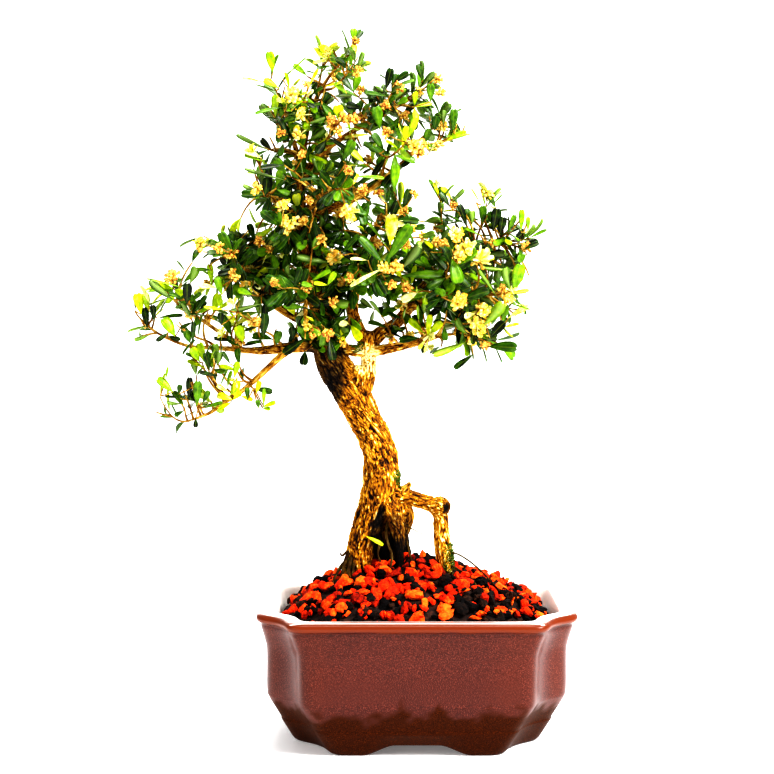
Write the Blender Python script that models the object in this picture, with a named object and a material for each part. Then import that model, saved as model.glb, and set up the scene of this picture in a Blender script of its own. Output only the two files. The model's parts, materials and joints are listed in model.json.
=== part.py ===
"""Harland boxwood bonsai, planted in a glazed stoneware pot.

Lengths are in millimetres until a mesh is made. Points are measured from the middle of the pot's
foot, x to the right, y to the back and z up; POT_X then moves everything so that the middle of the
whole plant's width, not the pot's, stands over the origin.
"""

import math

import bmesh
import bpy
import numpy as np
from mathutils import Vector
from mathutils.bvhtree import BVHTree

MM = 0.001
GAP = 0.3                       # clearance between neighbouring pieces
POT_X, POT_Y = 37.86, 0.0       # the pot's place under the plant

# The pot: a seven inch oblong with hollow corners.
POT_DEPTH_LESS = 19.0           # how much less the half depth is than the half length
OUTER_PROFILE = [               # height, half length of the outside
    (0.0, 69.2), (1.6, 71.0), (7.0, 74.6), (14.6, 78.2), (21.4, 80.4), (28.3, 83.8),
    (34.0, 85.0), (55.0, 84.9), (62.5, 86.2), (69.4, 89.4), (74.2, 90.3), (77.0, 90.4), (78.4, 88.8),
]
INNER_PROFILE = [               # height, half length of the hollow, down to its floor
    (78.4, 82.4), (77.0, 80.8), (69.0, 79.4), (55.0, 77.4), (34.0, 77.0), (15.0, 69.0),
]
FLOOR_TOP, FLOOR_UNDER = 15.0, 8.0
RECESS_HALF, RECESS_FLARE = 54.0, 1.5           # half length of the hollow under the floor
CORNER_CUT_TOP, CORNER_CUT_FOOT = 19.0, 22.5
CORNER_LONGER = 8.0             # the bite is this much longer along the depth
HOLLOW_INSET = 2.5              # how much smaller the bite is inside the pot
CORNER_SAG = 5.0                # how far the bite bows inwards
CORNER_STEPS = (0.10, 0.30, 0.50, 0.70, 0.90)   # points along the bite
CORNER_BLUNT = 0.09             # the blunt end beside it, as a share of its length
FOOT_ARCH_HEIGHT = 5.7
FOOT_ARCH_LONG = (28.0, 14.0)   # half width of the cut between the feet, at the ground and on top
FOOT_ARCH_SHORT = (18.0, 8.0)
DRAIN_X, DRAIN_RADIUS, DRAIN_SIDES = 32.0, 8.0, 16
BELOW = 2.0                     # how far the cutters run past what they cut

# The drainage screens, flat on the floor over the holes.
SCREEN_SIZE, SCREEN_BARS, SCREEN_BAR, SCREEN_THICK = 24.0, 3, 2.0, 1.0

# The soil and its dressing of lava chips, heaped up round the roots.
SOIL_LEVELS = (34.0, 55.0)      # where the hollow's wall changes its slope
MOUND_EDGE, MOUND_PEAK, MOUND_SHIFT = 69.5, 99.0, -8.0
DRESSING_THICK = 4.5
MOUND_RINGS = (1.0, 0.72, 0.36)
CHIP_RINGS = (0.97, 0.81, 0.63, 0.44, 0.24)
CHIP_GROOVE, CHIP_RISE = 1.5, 3.0
HEAP_CORNER_CLEAR = 2.5         # the heap cuts each hollow corner by this much more
HEAP_SIDE_STEPS = (6, 4)        # chips along the long side and along the short one
CHIP_JITTER = np.array([1.3, 1.3, 1.1])
CHIP_SEED = 7

# Leaves: opposite pairs, each turned a quarter from the last. Two pairs make a whorl of four.
LEAF_LONG, LEAF_SHORT = 17.0, 11.5
LEAF_THICK = 0.7
LEAF_SECTIONS = ((0.60, 1.0), (1.0, 0.40))      # share of the length, share of the width
LEAF_CLEAR, STEM_CLEAR = 0.4, 1.4               # clearance in mm, and how much stouter stems count
STEM_BASE, STEM_TIP = 1.0, 0.75                 # corner radius of the square stem
NODE_HALF = 0.7                                 # half height of a leaf's foot on the stem
NODE_SPACING, NODES_MOST = 8.4, 4
NODE_FIRST, NODE_LAST = 0.26, 0.93              # where the nodes begin and end along the stem
SPRAY_SAG = 0.10                # how far a spray's middle hangs below a straight line, of its length
SPLAY_LOW, SPLAY_LESS, SPLAY_VARIES = 68.0, 30.0, 22.0      # degrees from the stem, and less at its tip
LEAF_WIDE, LEAF_WIDE_VARIES = 0.31, 0.07        # of the length
LEAF_CURL_LEAST, LEAF_CURL_VARIES = -0.06, 0.24
LEAF_TWIST_VARIES = 30.0
FOOT_SHARE, FOOT_WIDE = 0.22, 0.4               # where the clearance test starts, and the width there
SPRAY_SEED = 100

# The wood as rows of x, y, z and radius. The trunk rises from its left leg into the leader.
TRUNK = [
    (-35.4, 1, 67, 7.2), (-35.0, 1, 84, 7.4), (-33.8, 0, 97, 7.9), (-31.8, 0, 110, 8.0),
    (-27.6, 0, 124, 9.0), (-22.8, 0, 136, 10.4), (-20.0, 0, 147, 10.8), (-20.2, 0, 159, 9.9),
    (-23.6, 0, 172, 9.7), (-30.4, 0, 185, 9.9), (-37.0, 0, 198, 10.6), (-43.4, 0, 210, 10.4),
    (-49.0, 0, 220, 9.6), (-50.4, 0, 229, 8.4), (-52.0, 0, 239, 6.8),
]
LEADER = [
    (-50.4, 0, 229, 7.4), (-52.2, 0, 240, 6.4), (-57.0, 0, 253, 5.4), (-62.5, 0, 273, 4.5),
    (-66.0, 0, 296, 3.7), (-66.6, 0, 320, 3.0), (-64.0, 0, 344, 2.3), (-58.0, -1, 365, 1.8),
    (-50.0, -2, 379, 1.4), (-43.0, -3, 387, STEM_BASE),
]
BACK_LEG = [(-5.5, 11, 67, 5.2), (-6.5, 11, 86, 5.3), (-8, 10, 101, 5.6), (-11, 7, 116, 6.2),
            (-15, 4, 130, 6.8), (-19, 1, 143, 7.2)]
FLAP_ROOT = [(-9.5, -9, 72, 2.0), (-9.5, -9, 90, 2.0), (-9.5, -8, 106, 2.6), (-10, -7, 118, 3.8),
             (-13, -6, 129, 5.0), (-17, -3, 140, 6.0)]
ARCH_ROOT = [(18.6, -3, 67, 4.4), (18.4, -3, 84, 4.5), (17.8, -3, 97, 4.7), (16.6, -3, 109, 4.5),
             (15.2, -3, 120, 4.3), (14.0, -3, 127.5, 4.6), (10.6, -3, 133.4, 4.7), (3.0, -3, 136.6, 4.4),
             (-5.0, -2, 138.8, 4.8), (-13.0, -1, 140, 6.4)]
STUBS = [
    [(10.0, -3, 135, 3.6), (14.6, -4.4, 134, 3.3), (18.4, -6, 133.4, 3.0)],
    [(-10.0, -3, 140, 3.2), (-6.0, -4, 144, 2.4), (-3.0, -4.6, 147, 1.7)],
    [(-38.0, -3, 199, 6.0), (-34.4, -4.4, 209, 4.0), (-32.6, -5, 215, 1.8)],
    [(-28.0, -3, 224, 3.6), (-27.2, -5, 230, 3.4), (-26.6, -6, 234.6, 2.6)],
]
FORK = [(-37, -1, 196, 7.6), (-31.6, -2, 208, 6.4), (-28.6, -2, 218, 5.8), (-29, -2, 227, 4.8),
        (-33.6, -3, 236, 3.9), (-36.6, -4, 246, 3.4), (-35, -4, 260, 2.9), (-30, -4, 274, 2.4),
        (-25, -3, 288, 2.0), (-21, -2, 301, 1.6)]
BRANCHES = {
    "leader": LEADER,
    "fork": FORK,
    "right_low": [(-42, 0, 224, 3.2), (-27, -3, 223, 3.2), (-12, -4, 225.5, 2.8), (2, -4, 228.6, 2.3),
                  (13, -4, 232, 1.8), (23, -3, 233, STEM_BASE)],
    "right_mid": [(-29, -2, 225, 4.6), (-21, 1, 233, 4.2), (-12, 3, 238.5, 3.4), (-4, 4, 248, 2.9),
                  (4, 3, 260, 2.5), (14, 1, 269, 2.2), (27, 0, 276, 1.9), (40, 0, 281, 1.6),
                  (50, -1, 285, STEM_BASE)],
    "right_front": [(-6, 4, 246, 2.6), (3, -6, 251, 2.2), (15, -12, 255, 1.8), (28, -14, 256, 1.5),
                    (41, -14, 256, STEM_BASE)],
    "right_back": [(1, 4, 256, 2.4), (7, 15, 261, 2.0), (15, 26, 267, 1.6), (24, 35, 272, STEM_BASE)],
    "upper_right": [(-65, 0, 292, 3.0), (-54, -3, 302, 2.6), (-41, -5, 308, 2.3), (-27, -5, 315, 2.0),
                    (-10, -4, 329, 1.7), (2, -4, 339, 1.5), (13, -4, 342, STEM_BASE)],
    "upper_mid": [(-66, 0, 322, 2.6), (-56, 4, 335, 2.2), (-40, 6, 347, 1.9), (-23, 5, 356, 1.6),
                  (-7, 4, 365, STEM_BASE)],
    "upper_left": [(-66, 0, 328, 2.4), (-70, 1, 342, 1.8), (-75, 1, 358, STEM_BASE)],
    "left_high": [(-65, 0, 290, 2.8), (-74, 0, 302, 2.1), (-85, -1, 314, STEM_BASE)],
    "left_mid": [(-52, 0, 236, 3.6), (-66, -1, 241, 2.9), (-79, -2, 248, 2.4), (-91, -2, 257, 2.0),
                 (-101, -1, 268, 1.6), (-108, 0, 278, STEM_BASE)],
    "left_low": [(-50, -1, 226, 4.4), (-62, -2, 226, 3.6), (-74, -3, 225, 3.0), (-91, -4, 223.4, 2.4),
                 (-105, -4, 224.4, 2.0), (-118, -3, 225, 1.7), (-131, -2, 226, 1.5),
                 (-142, -2, 230, 1.35), (-150, -1, 234, STEM_BASE)],
    "left_rise": [(-101, -4, 224, 1.9), (-109, -4, 231, 1.7), (-124, -3, 241.6, 1.5),
                  (-132, -1, 245.6, 1.35), (-139, 0, 252, STEM_BASE)],
    "droop": [(-56, -3, 227, 3.4), (-67, -8, 226.6, 2.8), (-75, -12, 222.6, 2.4), (-90, -16, 209, 2.0),
              (-100, -17, 200.6, 1.8), (-109, -17, 194.6, 1.5), (-119, -17, 188, 1.35),
              (-128, -17, 184.6, STEM_BASE)],
    "front_low": [(-56, -2, 247, 3.0), (-60, -14, 251, 2.0), (-63, -27, 256, STEM_BASE)],
    "back_low": [(-56, 2, 248, 3.2), (-56, 17, 255, 2.0), (-54, 31, 260, STEM_BASE)],
    "front_mid": [(-66, -1, 300, 2.8), (-59, -13, 306, 1.9), (-52, -25, 311, STEM_BASE)],
    "back_mid": [(-66, 1, 300, 2.8), (-60, 15, 309, 1.9), (-53, 28, 317, STEM_BASE)],
}

LEGS = (TRUNK, BACK_LEG, FLAP_ROOT, ARCH_ROOT)
LEG_SIDES, STUB_SIDES, TWIG_SIDES = 10, 6, 4
LEG_SUNK = 5                    # so many rows of a leg reach down to the soil
FLUTES, FLUTES_ABOVE = 0.05, 111.0              # the legs are plain and round up to here
FLUTES_FULL = 28.0              # the flutes are whole this much higher
TWIG_RINGS, TWIG_END, TWIG_STOUTEST = 3, 2.0, 1.9

# The leafy sprays as branch, where the spray begins and where its stem ends. A spray with no
# beginning of its own carries on from the end of its branch.
SPRAYS = {
    "apex_tip": ("leader", None, (-36.5, -5, 397)),
    "apex_left": ("leader", (-55, 2, 379), (-53, 4, 391)),
    "apex_back": ("leader", (-49, 9, 377), (-37, 25, 390)),
    "apex_front": ("leader", (-45, -11, 374), (-33, -23, 388)),
    "upleft_tip": ("upper_left", None, (-83, -2, 378)),
    "upleft_front": ("upper_left", (-75, -9, 350), (-83, -26, 361)),
    "upleft_back": ("upper_left", (-76, 11, 350), (-86, 31, 361)),
    "shoulder_left": ("upper_left", (-77, -1, 337), (-91, -4, 341)),
    "high_left_tip": ("left_high", None, (-94, -5, 318)),
    "high_left_front": ("left_high", (-80, -12, 311), (-91, -36, 318)),
    "high_left_back": ("left_high", (-79, 12, 309), (-90, 37, 317)),
    "crown_front": ("upper_mid", (-22, -4, 358), (-13, -12, 372)),
    "crown_tip": ("upper_mid", None, (3, 5, 376)),
    "crown_back": ("upper_mid", (-24, 15, 358), (-17, 36, 368)),
    "upper_right_front": ("upper_right", (-16, -15, 333), (-5, -38, 342)),
    "upper_right_tip": ("upper_right", None, (31, -5, 347)),
    "upper_right_back": ("upper_right", (4, 4, 346), (16, 17, 361)),
    "heart_front_top": ("upper_mid", (-52, -8, 342), (-46, -34, 352)),
    "heart_front": ("front_mid", None, (-42, -50, 314)),
    "heart_front_left": ("front_mid", (-66, -17, 294), (-76, -43, 294)),
    "heart_front_right": ("fork", (-19, -12, 296), (-8, -36, 302)),
    "heart_low_front": ("fork", (-28, -13, 268), (-20, -42, 268)),
    "low_front": ("front_low", None, (-72, -54, 260)),
    "heart_back": ("back_mid", None, (-44, 54, 321)),
    "low_back": ("back_low", None, (-56, 58, 268)),
    "heart_back_right": ("fork", (-17, 8, 303), (-5, 32, 310)),
    "heart_low_back": ("fork", (-27, 13, 268), (-18, 43, 272)),
    "right_top_near": ("right_mid", (15, -1, 288), (14, -4, 309)),
    "right_top_far": ("right_mid", (36, 4, 291), (41, 6, 309)),
    "right_tip": ("right_mid", None, (66, -3, 287)),
    "right_side": ("right_mid", (47, 8, 274), (64, 18, 268)),
    "right_front_tip": ("right_front", None, (61, -25, 257)),
    "right_front_mid": ("right_front", (15, -22, 264), (22, -46, 274)),
    "right_back_tip": ("right_back", None, (42, 52, 278)),
    "right_back_mid": ("right_back", (4, 26, 269), (0, 52, 276)),
    "right_low_tip": ("right_low", None, (48, -5, 227)),
    "right_low_front": ("right_low", (19, -14, 240), (38, -32, 242)),
    "left_mid_tip": ("left_mid", None, (-122, -2, 289)),
    "left_mid_front": ("left_mid", (-97, -12, 270), (-104, -39, 281)),
    "left_mid_back": ("left_mid", (-97, 11, 270), (-108, 39, 276)),
    "left_low_tip": ("left_low", None, (-153, -1, 249)),
    "left_low_side": ("left_low", (-122, -9, 230), (-136, -18, 239)),
    "left_low_front": ("left_low", (-84, -16, 234), (-94, -38, 246)),
    "left_rise_tip": ("left_rise", None, (-141, 1, 270)),
    "droop_tip": ("droop", None, (-146, -16, 198)),
    "droop_mid": ("droop", (-122, -22, 191), (-127, -27, 207)),
    "droop_up": ("droop", (-110, -20, 201), (-119, -24, 217)),
}


def unit(vector):
    """The vector, or each row of vectors, brought to length one."""
    vector = np.asarray(vector, float)
    return vector / np.linalg.norm(vector, axis=-1, keepdims=True)


def smooth_path(points, steps):
    """A Catmull-Rom curve through rows of x, y, z and radius, with so many steps a span."""
    rows = np.array(points, float)
    rows = np.vstack([2 * rows[0] - rows[1], rows, 2 * rows[-1] - rows[-2]])
    t = np.linspace(0.0, 1.0, steps, endpoint=False)[:, None]
    spans = []
    for a, b, c, d in zip(rows, rows[1:], rows[2:], rows[3:]):
        spans.append(0.5 * (2 * b + (c - a) * t + (2 * a - 5 * b + 4 * c - d) * t ** 2
                            + (3 * b - a - 3 * c + d) * t ** 3))
    return np.vstack(spans + [rows[-2:-1]])


def across(along):
    """Two rows of directions square to a path, from the axis that the path runs along least."""
    lean = np.abs(along.mean(axis=0))
    axis = np.eye(3)[int(np.argmin(lean))]
    side = unit(np.cross(along, axis))
    return side, np.cross(along, side)


def ring_faces(rings, sides):
    """Quads between rings of points that follow each other, and a flat cap at each end."""
    faces = []
    for k in range(rings - 1):
        for j in range(sides):
            i = (j + 1) % sides
            faces.append((k * sides + j, k * sides + i, (k + 1) * sides + i, (k + 1) * sides + j))
    faces.append(tuple(range(sides))[::-1])
    faces.append(tuple((rings - 1) * sides + j for j in range(sides)))
    return faces


def tube(path, sides, flutes=0.0):
    """Rings carried along rows of x, y, z and radius.

    Flutes is the share by which every other corner stands out, well above the soil.
    """
    centre, radius = path[:, :3], path[:, 3]
    along = unit(np.gradient(centre, axis=0))
    side, up = across(along)
    angle = 2 * math.pi * np.arange(sides) / sides + math.pi / sides
    rise = np.clip((centre[:, 2] - FLUTES_ABOVE) / FLUTES_FULL, 0, 1)
    wave = 1.0 + flutes * rise[:, None] * np.cos(angle * sides / 2 - math.pi / 2)
    reach = (radius[:, None] * wave)[:, :, None]
    points = centre[:, None] + reach * (np.cos(angle)[None, :, None] * side[:, None]
                                        + np.sin(angle)[None, :, None] * up[:, None])
    return points.reshape(-1, 3), ring_faces(len(path), sides)


def make_material(name, colour, roughness, metallic=0.0):
    """A Principled material with one linear colour."""
    material = bpy.data.materials.new(name)
    material.use_nodes = True
    shader = material.node_tree.nodes["Principled BSDF"]
    shader.inputs["Base Color"].default_value = (*colour, 1.0)
    shader.inputs["Roughness"].default_value = roughness
    shader.inputs["Metallic"].default_value = metallic
    return material


def make_object(name, points, faces, material=None):
    """A mesh object from points in millimetres round the pot's foot, with its faces turned outwards."""
    mesh = bpy.data.meshes.new(name)
    place = (np.asarray(points, float) + (POT_X, POT_Y, 0.0)) * MM
    mesh.from_pydata(place.tolist(), [], [tuple(face) for face in faces])
    shape = bmesh.new()
    shape.from_mesh(mesh)
    bmesh.ops.recalc_face_normals(shape, faces=shape.faces)
    shape.to_mesh(mesh)
    shape.free()
    if material:
        mesh.materials.append(material)
    piece = bpy.data.objects.new(name, mesh)
    bpy.context.collection.objects.link(piece)
    return piece


def boolean(piece, others, operation, solver="EXACT"):
    """Joins all the others to a piece, or cuts them from it, at once, and removes them."""
    group = bpy.data.collections.new("others")
    bpy.context.scene.collection.children.link(group)
    for other in others:
        other.hide_render = True
        other.display_type = "WIRE"
        group.objects.link(other)
    change = piece.modifiers.new(operation.lower(), "BOOLEAN")
    change.operation = operation
    change.solver = solver
    change.operand_type = "COLLECTION"
    change.collection = group
    result = bpy.data.meshes.new_from_object(piece.evaluated_get(bpy.context.evaluated_depsgraph_get()))
    piece.modifiers.clear()
    piece.data = result
    for other in others:
        bpy.data.objects.remove(other)
    bpy.data.collections.remove(group)


def corner_cut(height):
    """How much of the length the hollow corner takes at a height."""
    share = min(max(height / OUTER_PROFILE[-1][0], 0.0), 1.0)
    return CORNER_CUT_FOOT + (CORNER_CUT_TOP - CORNER_CUT_FOOT) * share


def pot_outline(half_length, height, inwards=0.0):
    """One level outline: an oblong whose corners are bitten out by hollow arcs with blunt ends."""
    half_depth = half_length - POT_DEPTH_LESS
    cut = corner_cut(height) - inwards
    start = np.array([half_length, half_depth - cut - CORNER_LONGER])
    end = np.array([half_length - cut, half_depth])
    bow = unit(np.array([start[1] - end[1], end[0] - start[0]])) * CORNER_SAG
    share = np.array(CORNER_STEPS)[:, None]
    arc = start + (end - start) * share + bow * 4 * share * (1 - share)
    blunt = CORNER_BLUNT * np.linalg.norm(end - start)
    corner = np.vstack([start - (0, blunt), arc, end - (blunt, 0)])
    flip_x, flip_y = np.array([-1, 1]), np.array([1, -1])
    plan = np.vstack([corner, corner[::-1] * flip_x, -corner, corner[::-1] * flip_y])
    return np.column_stack([plan, np.full(len(plan), height)])


def make_pot(glaze):
    """The glazed pot: outside, rim, hollow, floor with two drain holes, and four corner feet."""
    rings = [pot_outline(half, z) for z, half in OUTER_PROFILE]
    rings += [pot_outline(half, z, HOLLOW_INSET) for z, half in INNER_PROFILE]
    sides = len(rings[0])
    pot = make_object("pot", np.vstack(rings), ring_faces(len(rings), sides), glaze)
    cutters = []
    recess = [pot_outline(RECESS_HALF + RECESS_FLARE, -BELOW, HOLLOW_INSET),
              pot_outline(RECESS_HALF, FLOOR_UNDER, HOLLOW_INSET)]
    cutters.append(make_object("recess", np.vstack(recess), ring_faces(2, sides)))
    for x in (-DRAIN_X, DRAIN_X):
        path = np.array([(x, 0, 0, DRAIN_RADIUS), (x, 0, FLOOR_TOP + BELOW, DRAIN_RADIUS)], float)
        cutters.append(make_object("drain", *tube(path, DRAIN_SIDES)))
    top, reach = FOOT_ARCH_HEIGHT, OUTER_PROFILE[-1][1]
    for half, crown, turned in ((*FOOT_ARCH_LONG, False), (*FOOT_ARCH_SHORT, True)):
        shoulder = crown + (half - crown) * 0.35
        arch = [(-half, -BELOW), (-half, 0), (-shoulder, 0.72 * top), (-crown, top), (crown, top),
                (shoulder, 0.72 * top), (half, 0), (half, -BELOW)]
        front = np.array([(x, -reach, z) for x, z in arch], float)
        back = front * (1, -1, 1)
        points = np.vstack([front, back])
        if turned:
            points = points[:, [1, 0, 2]]
        cutters.append(make_object("arch", points, ring_faces(2, len(arch))))
    boolean(pot, cutters, "DIFFERENCE")
    return pot


def make_screen(name, x, plastic):
    """A square plastic screen: a plate with a grid of square openings."""
    half = SCREEN_SIZE / 2
    low, high = FLOOR_TOP + GAP, FLOOR_TOP + GAP + SCREEN_THICK
    pitch = (SCREEN_SIZE - SCREEN_BAR) / (SCREEN_BARS - 1)
    lines = []
    for bar in range(SCREEN_BARS):
        lines += [bar * pitch - half, bar * pitch - half + SCREEN_BAR]
    count = len(lines)
    plan = np.array([(x + a, b) for b in lines for a in lines])
    points = np.vstack([np.column_stack([plan, np.full(len(plan), z)]) for z in (low, high)])
    solid = {(i, j) for i in range(count - 1) for j in range(count - 1) if i % 2 == 0 or j % 2 == 0}
    above = count * count
    faces = []
    for i, j in solid:
        a, b = j * count + i, j * count + i + 1
        c, d = b + count, a + count
        faces += [(a, d, c, b), (a + above, b + above, c + above, d + above)]
        for (di, dj), (p, q) in {(0, -1): (a, b), (1, 0): (b, c), (0, 1): (c, d), (-1, 0): (d, a)}.items():
            if (i + di, j + dj) not in solid:
                faces.append((p, q, q + above, p + above))
    return make_object(name, points, faces, plastic)


def heap_outline(half_length):
    """The hollow's level outline at the rim, with three points a corner and more along the sides."""
    ring = pot_outline(half_length, OUTER_PROFILE[-1][0], HOLLOW_INSET - HEAP_CORNER_CLEAR)
    corners = ring.reshape(4, -1, 3)[:, [0, len(ring) // 8, -1]]
    rows = []
    for k in range(4):
        start, end = corners[k, -1], corners[(k + 1) % 4, 0]
        steps = HEAP_SIDE_STEPS[k % 2]
        rows += [*corners[k], *(start + (end - start) * n / steps for n in range(1, steps))]
    return np.array(rows)


def mound_ring(half_length, share, lift):
    """A ring of the mound: the hollow's outline shrunk towards the heap's middle and raised."""
    ring = heap_outline(half_length)
    ring[:, :2] *= share
    ring[:, 0] += MOUND_SHIFT * (1 - share)
    ring[:, 2] = MOUND_EDGE + (MOUND_PEAK - MOUND_EDGE) * (1 - share ** 2) + lift
    return ring


def inner_half(height):
    """Half length of the pot's hollow at a height."""
    heights = [z for z, _ in INNER_PROFILE][::-1]
    halves = [half for _, half in INNER_PROFILE][::-1]
    return float(np.interp(height, heights, halves))


def leg_cutters(legs):
    """The plain holes that the legs stand in: each leg again, a little stouter and deeper."""
    cutters = []
    for leg in legs:
        path = leg_path(leg)
        path[:, 3] += GAP + 0.06
        path[0, 2] -= GAP
        cutters.append(make_object("hole", *tube(path, LEG_SIDES)))
    return cutters


def make_soil(earth):
    """The root ball's soil, which fills the hollow up to the dressing."""
    margin = GAP + 0.1
    levels = [FLOOR_TOP + GAP, *SOIL_LEVELS]
    rings = [heap_outline(inner_half(z) - margin) for z in levels]
    for ring, z in zip(rings, levels):
        ring[:, 2] = z
    edge = inner_half(MOUND_EDGE - DRESSING_THICK) - margin
    rings += [mound_ring(edge, share, -DRESSING_THICK - GAP) for share in MOUND_RINGS]
    soil = make_object("soil", np.vstack(rings), ring_faces(len(rings), len(rings[0])), earth)
    cutters = leg_cutters(LEGS)
    half = SCREEN_SIZE / 2 + GAP
    for x in (-DRAIN_X, DRAIN_X):
        low, high = FLOOR_TOP - BELOW, FLOOR_TOP + SCREEN_THICK + 2 * GAP
        square = [(x - half, -half), (x + half, -half), (x + half, half), (x - half, half)]
        points = [(*corner, z) for z in (low, high) for corner in square]
        cutters.append(make_object("pocket", points, ring_faces(2, 4)))
    boolean(soil, cutters, "DIFFERENCE")
    return soil


def make_dressing(lava):
    """A layer of broken lava over the soil: a thin cap whose top breaks up into angular chips."""
    rng = np.random.default_rng(CHIP_SEED)
    edge = inner_half(MOUND_EDGE - DRESSING_THICK) - GAP - 0.2
    over = [mound_ring(edge, share, 0.0) for share in CHIP_RINGS]
    for ring in over[1:]:
        ring += rng.uniform(-1, 1, ring.shape) * CHIP_JITTER
    under = [mound_ring(edge, share, -DRESSING_THICK) for share in MOUND_RINGS[::-1]]
    cap = make_object("lava_dressing", np.vstack(under + over), ring_faces(len(under + over), len(over[0])),
                      lava)
    shape = bmesh.new()
    shape.from_mesh(cap.data)
    shape.verts.ensure_lookup_table()
    first_over = len(under) * len(over[0])
    top = [face for face in shape.faces if len(face.verts) == 4
           and all(vert.index >= first_over for vert in face.verts)]
    bmesh.ops.inset_individual(shape, faces=top, thickness=CHIP_GROOVE * MM, depth=CHIP_RISE * MM)
    for face in top:
        for vert in face.verts:
            vert.co += Vector(rng.uniform(-1, 1, 3) * CHIP_JITTER * MM)
    shape.to_mesh(cap.data)
    shape.free()
    boolean(cap, leg_cutters(LEGS), "DIFFERENCE", "MANIFOLD")
    return cap


def leg_path(leg):
    """The lowest stretch of a leg, which goes into the soil."""
    return smooth_path(leg, 1)[:LEG_SUNK]


def spray_course(name):
    """Where a spray begins and ends, the way it sets out, and the twig that carries it, if any.

    The twig is a cubic curve that leaves its branch along it and ends straight, in the spray's
    heading.
    """
    branch, start, tip = SPRAYS[name]
    path = smooth_path(BRANCHES[branch], 1)
    tip = np.array(tip, float)
    if start is None:
        return path[-1, :3], tip, unit(path[-1, :3] - path[-2, :3]), None
    start = np.array(start, float)
    sunk = 0.5 * (start + tip) - (0, 0, SPRAY_SAG * np.linalg.norm(tip - start))
    heading = unit(sunk - start)
    fine = smooth_path(BRANCHES[branch], 4)
    nearest = int(np.argmin(np.linalg.norm(fine[:, :3] - start, axis=1)))
    nearest = min(max(nearest - 3, 1), len(fine) - 3)
    origin, along = fine[nearest], unit(fine[nearest + 1, :3] - fine[nearest, :3])
    elbow = start - heading * TWIG_END
    pull = 0.4 * np.linalg.norm(elbow - origin[:3])
    t = np.linspace(0, 1, TWIG_RINGS)[:, None]
    curve = ((1 - t) ** 3 * origin[:3] + 3 * t * (1 - t) ** 2 * (origin[:3] + along * pull)
             + 3 * t ** 2 * (1 - t) * (elbow - heading * pull) + t ** 3 * elbow)
    curve = np.vstack([curve, start])
    radius = np.linspace(min(origin[3] * 0.8, TWIG_STOUTEST), STEM_BASE, len(curve))
    return start, tip, heading, np.column_stack([curve, radius])


def make_wood(bark):
    """Trunk, roots, stubs and branches, grown together, each branch ending in a small flat cap."""
    trunk = make_object("wood", *tube(smooth_path(TRUNK, 1), LEG_SIDES, FLUTES), bark)
    parts = [make_object("leg", *tube(smooth_path(leg, 1), LEG_SIDES)) for leg in LEGS[1:]]
    parts += [make_object("stub", *tube(smooth_path(stub, 1), STUB_SIDES)) for stub in STUBS]
    for name, rows in BRANCHES.items():
        sides = 8 if rows[0][3] > 4.5 else 5 if rows[0][3] > 2.5 else 4
        parts.append(make_object(name, *tube(smooth_path(rows, 1), sides)))
    for name in SPRAYS:
        twig = spray_course(name)[3]
        if twig is not None:
            parts.append(make_object("twig", *tube(twig, TWIG_SIDES)))
    boolean(trunk, parts, "UNION", "MANIFOLD")
    return trunk


def spray_nodes(index, name):
    """The stem and the leaves of one spray.

    The stem is a quadratic curve of square rings, two for each leaf node. A leaf is a row of foot,
    direction, upper side, length, width, curl and twist. Two pairs stand at each node, a quarter
    turn apart, one on each face of the stem.
    """
    start, tip, heading, _ = spray_course(name)
    start = start + heading * GAP
    length = float(np.linalg.norm(tip - start))
    bend = start + heading * length * 0.5
    count = min(max(round(length / NODE_SPACING), 2), NODES_MOST)
    rng = np.random.default_rng(SPRAY_SEED + index)
    draw = rng.random((count, 4, 5))
    phase = rng.random() * math.pi / 2
    middle = np.linspace(NODE_FIRST, NODE_LAST, count)
    step = NODE_HALF / length
    t = np.concatenate([[0.0], np.column_stack([middle - step, middle + step]).ravel(), [1.0 + step * 2]])
    t = t[:, None]
    centre = (1 - t) ** 2 * start + 2 * t * (1 - t) * bend + t ** 2 * tip
    along = unit(2 * (1 - t) * (bend - start) + 2 * t * (tip - bend))
    side, up = across(along)
    radius = STEM_BASE + (STEM_TIP - STEM_BASE) * np.clip(t, 0, 1)
    radius[-1] *= 0.6
    angle = phase + math.pi / 2 * np.arange(4) + math.pi / 4
    corners = centre[:, None] + radius[:, None] * (np.cos(angle)[None, :, None] * side[:, None]
                                                   + np.sin(angle)[None, :, None] * up[:, None])
    leaves = []
    for k in range(count):
        ring = 1 + 2 * k
        point, axis = 0.5 * (centre[ring] + centre[ring + 1]), along[ring]
        for face in range(4):
            turn = phase + math.pi / 2 * face
            out = math.cos(turn) * side[ring] + math.sin(turn) * up[ring]
            splay_draw, long_draw, wide_draw, curl_draw, twist_draw = draw[k, face]
            share = k / (count - 1)
            splay = math.radians(SPLAY_LOW - SPLAY_LESS * share + SPLAY_VARIES * (splay_draw - 0.5))
            direction = math.sin(splay) * out + math.cos(splay) * axis
            upper = math.sin(splay) * axis - math.cos(splay) * out
            long = LEAF_SHORT + (LEAF_LONG - LEAF_SHORT) * long_draw
            wide = long * (LEAF_WIDE + LEAF_WIDE_VARIES * wide_draw)
            leaves.append({
                "ring": ring, "face": face, "foot": point + out * radius[ring] * 0.7,
                "direction": direction, "upper": upper, "length": long, "width": wide,
                "curl": LEAF_CURL_LEAST + LEAF_CURL_VARIES * curl_draw,
                "twist": math.radians(LEAF_TWIST_VARIES) * (twist_draw - 0.5),
                "order": count - k,
            })
    return corners, leaves


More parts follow.
